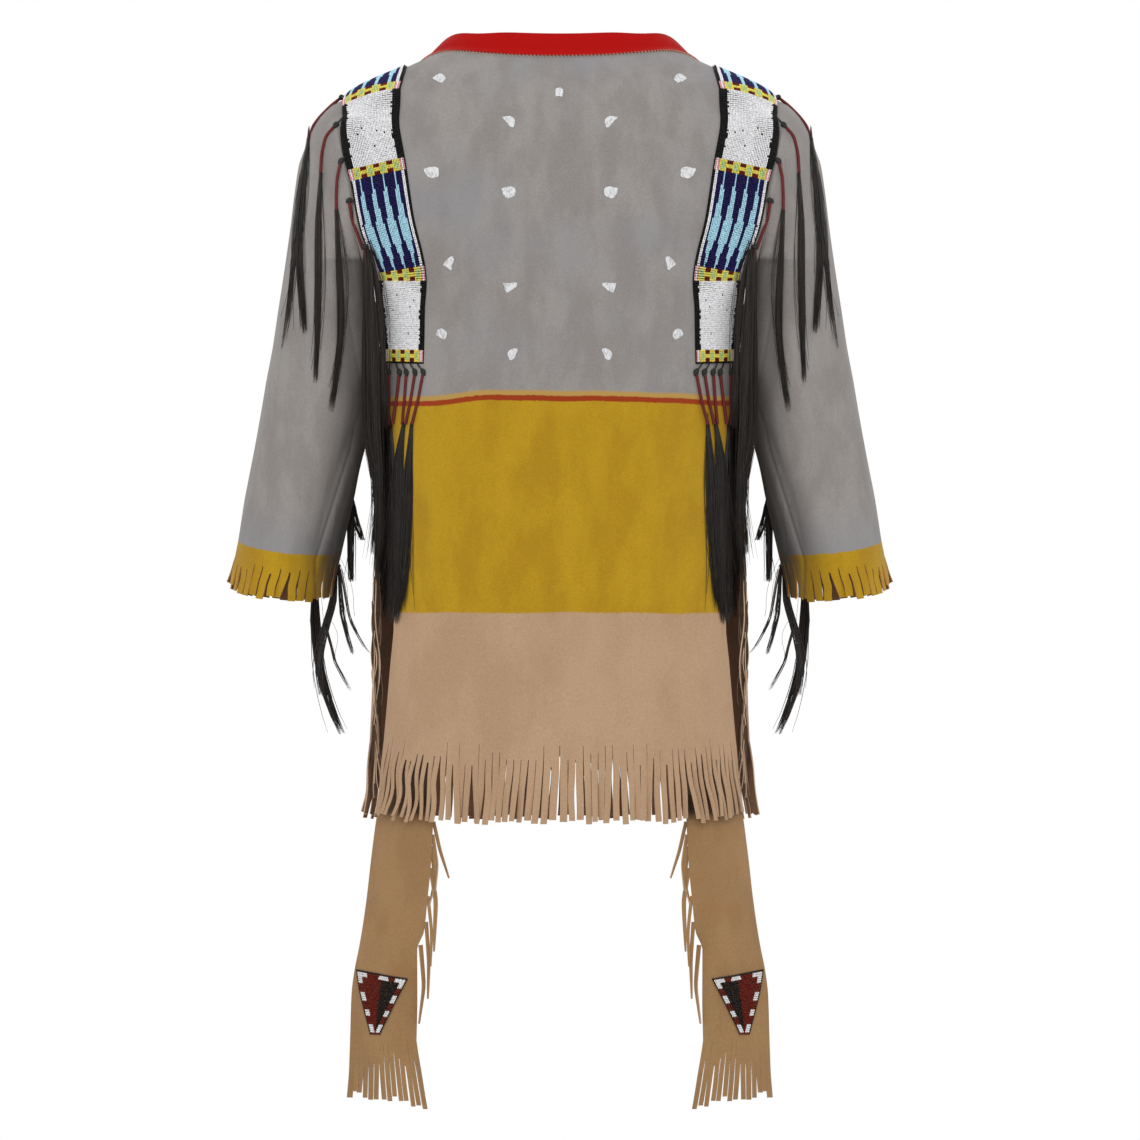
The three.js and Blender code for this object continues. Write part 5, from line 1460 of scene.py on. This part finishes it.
# %% Places of the locks
EDGE_STEMS = [  # length along the strip, then x and z from the knot to the wrap's end
    (34, [(237, -38), (248, -47), (259, -58.5), (268, -70), (272, -84)]),
    (84, [(242, -70), (253, -82), (257.5, -102), (258.5, -122)]),
    (131, [(236, -110), (240, -127), (241, -145), (241, -163)]),
    (180, [(227, -153), (224, -173), (217, -192), (212, -206)]),
    (231, [(210, -203), (208, -230), (203, -254)]),
    (292, [(194, -258), (196, -280), (198, -307)]),
    (342, [(191, -308), (197, -334), (200, -360)]),
]
EDGE_CLUMPS = [  # places in x and z, hairs, width in mm, and the shortest full hair's share
    ([(272, -80), (279, -130), (284, -185), (282, -225), (276, -296)], 62, 9, 0.94),
    ([(273, -82), (283, -150), (288, -215), (293, -262), (301, -314)], 26, 6, 0.7),
    ([(258, -122), (261, -170), (261, -250), (262, -300), (264, -350)], 52, 7, 0.95),
    ([(241, -163), (239, -205), (236, -260), (236, -295), (240, -335), (247, -381)], 46, 7, 0.9),
    (
        [(210, -204), (208, -330), (209, -395), (206, -420), (197, -462), (197, -490), (202, -535)],
        70, 9, 0.93,
    ),
    ([(204, -212), (201, -330), (198, -400), (195, -450), (195, -520), (199, -566)], 70, 9, 0.93),
    ([(203, -254), (197, -350), (195, -470), (203, -540)], 60, 10, 0.8),
    ([(198, -307), (195, -400), (194, -500), (199, -560)], 60, 11, 0.85),
    ([(200, -360), (191, -420), (190, -520), (192, -585)], 60, 12, 0.85),
    ([(204, -206), (197, -240), (192, -290), (190.5, -335), (188, -400)], 80, 6, 0.9),
    ([(207, -206), (203, -262), (200, -310), (198, -360), (197, -440)], 60, 11, 0.8),
]
END_KNOTS = [(23, 184.5), (12, 173), (1, 165.5), (-11, 156), (-22, 147)]  # across the strip, and its knot's x
END_KNOT_Z, END_STEM_Z = -338, -394
END_STEM_X = [184, 180.5, 170, 166.5, 159.5]
END_CLUMPS = [
    ([(183, -392), (184, -440), (184, -520), (188, -604)], 110, 14, 0.93),
    ([(168, -392), (174, -432), (174, -520), (179, -610)], 120, 15, 0.94),
    ([(159.5, -392), (163, -440), (166, -520), (172, -598)], 110, 12, 0.9),
]
SLEEVE_STEMS = [[(x, -484), (x - 6, -535)] for x in (270, 262, 254, 246)]
SLEEVE_CLUMPS = [
    ([(266, -545), (267, -600), (262, -657), (250, -700), (236, -731)], 56, 11, 0.93),
    ([(243, -545), (246, -585), (256, -620), (263, -655), (258, -690)], 46, 9, 0.9),
    ([(240, -545), (236, -600), (228, -630), (224, -643)], 20, 5, 0.95),
    ([(238, -550), (228, -605), (214, -632), (206, -642)], 7, 2, 0.9),
    ([(254, -610), (244, -650), (225, -686)], 8, 2, 0.8),
    ([(228, -465), (227, -520), (227, -564)], 46, 9, 0.97),
    ([(229, -465), (222, -500), (214, -519)], 34, 7, 0.97),
]
FRONT_STEMS, FRONT_CLUMPS = 4, 5


print("locks at the edge of a strip:", len(EDGE_STEMS))

# %% Locks along the strips' outer edges, at their ends, and on the sleeves


def on_strip(along, across):
    """A place on top of the strip."""
    row, col = strip_cell(np.array([float(along)]), np.array([float(across)]))
    return (between_points(strip_base, row, col) + between_points(strip_normals, row, col) * 2)[0]


for side in (BACK, FRONT):
    trees = [cloth[side], cloth["sleeve"], strip_top]
    stems, clumps = len(EDGE_STEMS), len(EDGE_CLUMPS)
    if side == FRONT:
        stems, clumps = FRONT_STEMS, FRONT_CLUMPS
    for along, places in EDGE_STEMS[:stems]:
        stem(on_strip(side * along, STRIP_WIDTH / 2 - 1), places, side, trees)
    for places, count, width, ends in EDGE_CLUMPS[:clumps]:
        clump(places, count, width, side, trees, ends)
        flyaways(places, 12, side, trees)
    for (across, knot_x), stem_x in zip(END_KNOTS, END_STEM_X):
        places = [(knot_x, END_KNOT_Z), (0.6 * knot_x + 0.4 * stem_x, -365), (stem_x, END_STEM_Z)]
        stem(on_strip(side * STRIP_LENGTH, across), places, side, trees)
    for places, count, width, ends in END_CLUMPS:
        clump(places, count if side == BACK else count // 2, width, side, trees, ends)
        flyaways(places, 12, side, trees)
for places in SLEEVE_STEMS:
    root = hung([[(places[0][0], -474)]], FRONT, [cloth["sleeve"]], 1.0)[0, 0]
    stem(root, places, FRONT, [cloth["sleeve"]])
for places, count, width, ends in SLEEVE_CLUMPS:
    clump(places, count, width, FRONT, [cloth["sleeve"]], ends, SLEEVE_HAIR_RADIUS)
    flyaways(places, 2, FRONT, [cloth["sleeve"]])

LOCK_NODES = ["edge_locks_back", "edge_locks_front", "end_locks_back", "end_locks_front", "sleeve_locks"]
points, faces = joined(hair_parts)
piece_pair("hair", points, faces, [horse_hair], replaces=LOCK_NODES, slot="hair", smooth=None)
print("hair faces:", 2 * len(faces))
points, faces = joined(wrap_parts)
piece_pair("red_wraps", points, faces, [red_thread], slot="hair")
points, faces = joined(knot_parts)
piece_pair("thong_knots", points, faces, [black_thread], slot="hair")
print("wrap and knot faces:", 2 * len(faces))

# %% [markdown]
# ## Loose strands at the open sides and along the legs
#
# Both edges of an open side are cut into narrow thongs, once for show and once to lace the side shut. They
# are flat ribbons of the same hide, cut by hand, so their widths differ, and old ones are wavy and turned.

# %% Ribbons of hide


def ribbons(paths, widths, twist):
    """Flat closed ribbons along paths, each turned by its own angle and twisted along its length."""
    count, length = paths.shape[:2]
    t = np.linspace(0, 1, length)
    angle = rng.uniform(-0.9, 0.9, (count, 1)) + twist * t * rng.uniform(-1, 1, (count, 1))
    ahead = unit(np.gradient(paths, axis=1))
    flat = np.stack([np.cos(angle), np.sin(angle), 0 * angle], -1)
    across = unit(flat - ahead * (flat * ahead).sum(-1, keepdims=True))
    other = np.cross(ahead, across)
    half = np.asarray(widths)[:, None] / 2 * (1 - 0.6 * t**3)
    corners = [(-1, -1), (1, -1), (1, 1), (-1, 1)]
    thick = 0.42 * HIDE
    ring = np.stack([across * (a * half)[..., None] + other * (b * thick) for a, b in corners], 2)
    points = (paths[:, :, None] + ring).reshape(-1, 3)
    index = np.arange(count * length * 4).reshape(count, length, 4)
    after = np.roll(index, -1, axis=2)
    faces = np.stack([index[:, :-1], index[:, 1:], after[:, 1:], after[:, :-1]], -1)
    kinds = np.broadcast_to(np.array([0, 1, 0, 1]), faces.shape[:3]).ravel()
    caps = np.concatenate([index[:, 0], index[:, -1][:, ::-1]])
    return facing_out(points, np.concatenate([faces.reshape(-1, 4), caps])), np.append(kinds, [1] * len(caps))


def wavy(paths, size):
    """Paths with a slow wave of their own that grows from the root."""
    count, length = paths.shape[:2]
    t = np.linspace(0, 1, length)
    waves = [np.sin(t * rng.uniform(5, 11, (count, 1)) + rng.uniform(0, 6.3, (count, 1))) for _ in range(2)]
    return paths + np.stack([waves[0], waves[1], 0 * waves[0]], -1) * (size * np.sqrt(t))[:, None]


SIDE_THONGS, THONG_POINTS, LEG_THONG_POINTS = 26, 16, 14
THONG_TOP, THONG_BOTTOM, THONG_END = -546, -700, -800
THONG_X = 200.5
LEG_THONGS = [  # x and z of the root, a bend and the tip
    ((136, -822), (129, -853), (119.3, -883)),
    ((137, -848), (134.5, -886), (141, -915)),
    ((139, -872), (133.4, -907), (135.5, -962)),
    ((144, -930), (141, -972), (142, -1013)),
    ((150, -955), (146.3, -999), (151.7, -1040)),
    ((137, -836), (132, -868), (134, -897)),
    ((142, -902), (138, -940), (139, -978)),
]
heights = np.linspace(THONG_TOP, THONG_BOTTOM, SIDE_THONGS) + rng.uniform(-2, 2, SIDE_THONGS)
t = np.linspace(0, 1, THONG_POINTS)
fall = np.minimum(rng.uniform(85, 130, SIDE_THONGS), heights - THONG_END)[:, None] * t
x = THONG_X + rng.uniform(-3.5, 1.5, (SIDE_THONGS, 1)) + rng.uniform(-3, 1.5, (SIDE_THONGS, 1)) * t
y = rng.uniform(-26, -1, (SIDE_THONGS, 1)) + rng.uniform(-12, 3, (SIDE_THONGS, 1)) * t
paths = wavy(np.stack([x, y, heights[:, None] - fall], -1), 2.2)
(points, faces), kinds = ribbons(paths, rng.uniform(4, 6.5, SIDE_THONGS), 2.2)
# the side thongs hang above the hem's line, so the leg's painted shade darkens them all over
skins = [leg_buckskin, cut_edge]
piece_pair("side_thongs", points, faces, skins, kinds, ["side_fringe"], slot="bare_hide")
flat = np.array([walked(places, LEG_THONG_POINTS) for places in LEG_THONGS])
behind = rng.uniform(0, 5, (len(flat), 1)) * t[:LEG_THONG_POINTS]
behind = leg_point(np.ones(len(flat)), flat[:, 0, 1])[:, 1:2] - behind
paths = np.stack([flat[..., 0], behind, flat[..., 1]], -1)
(points, faces), kinds = ribbons(paths, rng.uniform(3.6, 5.0, len(flat)), 1.2)
piece_pair("leg_side_thongs", points, faces, skins, kinds, ["leg_side_fringe"], slot="bare_hide")
print("thong faces:", len(faces))

# %% [markdown]
# ## The beaded corners of the legs
#
# Each leg carries a three-cornered patch of the same beads, sewn straight to the hide. It is dark red in its
# outer half and black in its inner half, with a black border and short white dashes along its sides.

# %% Leg patches
PATCH_TOP, PATCH_BOTTOM = -986, -1052
PATCH_TOP_SPAN = (0.03, 0.86)
PATCH_TIP_SPAN = (0.31, 0.46)
PATCH_TILT = 11  # how much lower its inner end is, in mm


def patch_colour(down, across, from_side, from_top):
    """The colour at shares down and across the patch, and distances in beads from its sides and its top."""
    if from_side < 1.5 or from_top < 1:
        return "black"
    plain = "dark_red" if across < 0.52 else "black"
    if from_top < 3:
        dashed = from_side < 8 or abs(across - 0.56) < 0.09
        return "white" if dashed else "dark_red"
    if from_side < 4:
        return "white" if (down * 4 + 0.62) % 1 < 0.42 else "dark_red"
    return plain


centres, hole, outward, colours = [], [], [], []
patch_rows = int((PATCH_TOP - PATCH_BOTTOM) / (2 * BEAD_RADIUS))
for row in range(patch_rows):
    down_share = (row + 0.5) / patch_rows
    z = PATCH_TOP + (PATCH_BOTTOM - PATCH_TOP) * down_share
    ends = [PATCH_TOP_SPAN[k] + (PATCH_TIP_SPAN[k] - PATCH_TOP_SPAN[k]) * down_share for k in (0, 1)]
    first, last = leg_point(np.array(ends), np.full(2, z))
    count = max(4, round(np.linalg.norm(last - first) / (BEAD_LENGTH * 1.05)))
    shares = ends[0] + (ends[1] - ends[0]) * (np.arange(count) + 0.5) / count
    heights = z + PATCH_TILT * (0.4 - shares) * (1 - down_share)
    p = leg_point(shares, heights)
    across = unit(leg_point(shares + 0.01, heights) - leg_point(shares - 0.01, heights))
    up = unit(leg_point(shares, heights + 1) - leg_point(shares, heights - 1))
    out = np.cross(across, up)
    out = unit(out * np.sign(-out[:, 1:2]))
    centres.append(p + out * (LEG_WALL + BEAD_RADIUS - 0.1))
    hole.append(across)
    outward.append(out)
    for k in range(count):
        side_beads = min(k, count - 1 - k) + 0.5
        colours.append(patch_colour(down_share, (k + 0.5) / count, side_beads, row + 0.5))
whole = [np.concatenate(part) for part in (centres, hole, outward)]
for made in beaded("leg_patch_beads", *whole, np.array(colours)):
    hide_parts(f"bead_patch_{made.name.rsplit('_', 1)[1]}")
print("patch beads:", len(colours))

# %% [markdown]
# ## White daubs on the back
#
# A finger dipped in chalk paint leaves a ragged mark, thick at its rim, and no two are alike. Each mark is a
# thin skin of paint laid on the hide inside an outline of its own, and the other half of the back mirrors
# them.

# %% Daubs
DAUBS = [  # the outline of each mark as x and z, going round from its left tip
    [(137, -22), (133.7, -18.8), (128, -16), (123, -20), (122.4, -23), (127, -27.4), (132, -25)],
    [
        (62.6, -64.6), (56, -63), (51, -64), (47.8, -67), (48.6, -71), (49, -75.6), (53, -75.6), (56, -71),
        (59, -67.6),
    ],
    [
        (146.5, -120), (141, -118.6), (136.6, -117.4), (131, -118), (129.5, -122), (129.5, -128.6),
        (138, -130.8), (143, -127),
    ],
    [(62.7, -141), (57, -139.6), (51.8, -138.6), (47.5, -141), (47.2, -148), (55.6, -152.6), (60.4, -148.6)],
    [
        (124.8, -222.5), (120.4, -216), (114.4, -212.5), (112.6, -218), (115.5, -222), (115, -228.4),
        (117.6, -228.4), (120.4, -224.6),
    ],
    [
        (60.6, -242.2), (54.6, -242.6), (48.6, -241.6), (44.3, -243.2), (46.4, -246.6), (53, -251),
        (57.3, -253.6), (59, -248.2),
    ],
    [(131.8, -297), (129.6, -292), (125.3, -290.5), (120.4, -295), (120, -300), (123, -303.4), (128, -300.8)],
    [
        (56.2, -318), (53.5, -314.3), (48, -312), (44.3, -313.8), (46.5, -317.5), (48, -323.4), (52, -325.6),
        (54.6, -324.5),
    ],
    [(4.3, -34.8), (-0.5, -32), (-5.4, -34.8), (-4.9, -38), (-4.6, -43), (-1, -41), (3.2, -43), (3.2, -38)],
]
parts = []
for outline in [*DAUBS, *[[(-x, z) for x, z in outline] for outline in DAUBS[:-1]]]:
    rim = walked([*outline, outline[0]], 31)[:-1]
    rim = (np.roll(rim, 1, axis=0) + 4 * rim + np.roll(rim, -1, axis=0)) / 6 + rng.normal(0, 0.22, (30, 2))
    middle = rim.mean(axis=0)
    rings = np.linspace(0.03, 1, 6)[:, None]
    flat_x = middle[0] + rings * (rim[:, 0] - middle[0])
    flat_z = middle[1] + rings * (rim[:, 1] - middle[1])
    base = body_point_at(BACK, flat_x, flat_z)
    out = body_normal(base)
    base = base + out * (cover_over(base, out, [cloth[BACK]]) + 0.05)[..., None]
    thick = 0.12 + 0.3 * np.exp(-(((rings - 0.84) / 0.14) ** 2)) + rng.uniform(0, 0.18, flat_x.shape)
    (points, faces), kinds = wall(base, out * thick[..., None], 1.0, around=True)
    parts.append((points, faces))
points, faces = joined(parts)
piece("chalk_daubs", points, faces, [chalk], slot="painted_hide")
print("daub faces:", len(faces))

# %% [markdown]
# ## Stitches under the neck band
#
# The band is whipped to the hides with pale thread, one short slanted stitch every four millimetres.

# %% Neck stitches
STITCH_PITCH, STITCH_RADIUS, STITCH_HALF, STITCH_RISE = 4.0, 0.32, 0.9, 1.6
seam = collar_row(-1.0)
outside = unit(seam * (1, 1, 0))
lengths = lengths_along(seam)
at = np.arange(2, lengths[-1], STITCH_PITCH)
middle, face = at_lengths(at, lengths, seam), at_lengths(at, lengths, outside)
ahead = unit(np.cross(face, (0, 0, 1.0)))
share = np.array([-1, -0.5, 0, 0.5, 1])[:, None]
arch = np.array([0.2, 1.9, 2.4, 1.9, 0.2])[:, None]
slant = ahead[:, None] * STITCH_HALF + np.array([0, 0, STITCH_RISE])
path = middle[:, None] + face[:, None] * arch + slant * share
points, faces = tubes(path, np.full(path.shape[:2], STITCH_RADIUS), 4)
piece("neck_stitches", points, faces, [sinew], slot="red_wool")
print("stitches:", len(at))

# %% [markdown]
# ## The floor, and the end
#
# A plain pale floor lies well below the hem. The cloth and beads may stand a few millimetres out past the
# solids, and no more.

# %% The floor
floor_mesh = bpy.data.meshes.new("floor")
floor_mesh.from_pydata([(-4, -4, 0), (4, -4, 0), (4, 4, 0), (-4, 4, 0)], [], [(0, 1, 2, 3)])
floor = bpy.data.objects.new("floor", floor_mesh)
floor.location = (0, 0, FLOOR_HEIGHT * MM)
bpy.context.scene.collection.objects.link(floor)
floor_mesh.materials.append(new_material("pale_studio_paper", Roughness=0.9, Base_Color=linear("#e8e7e4")))
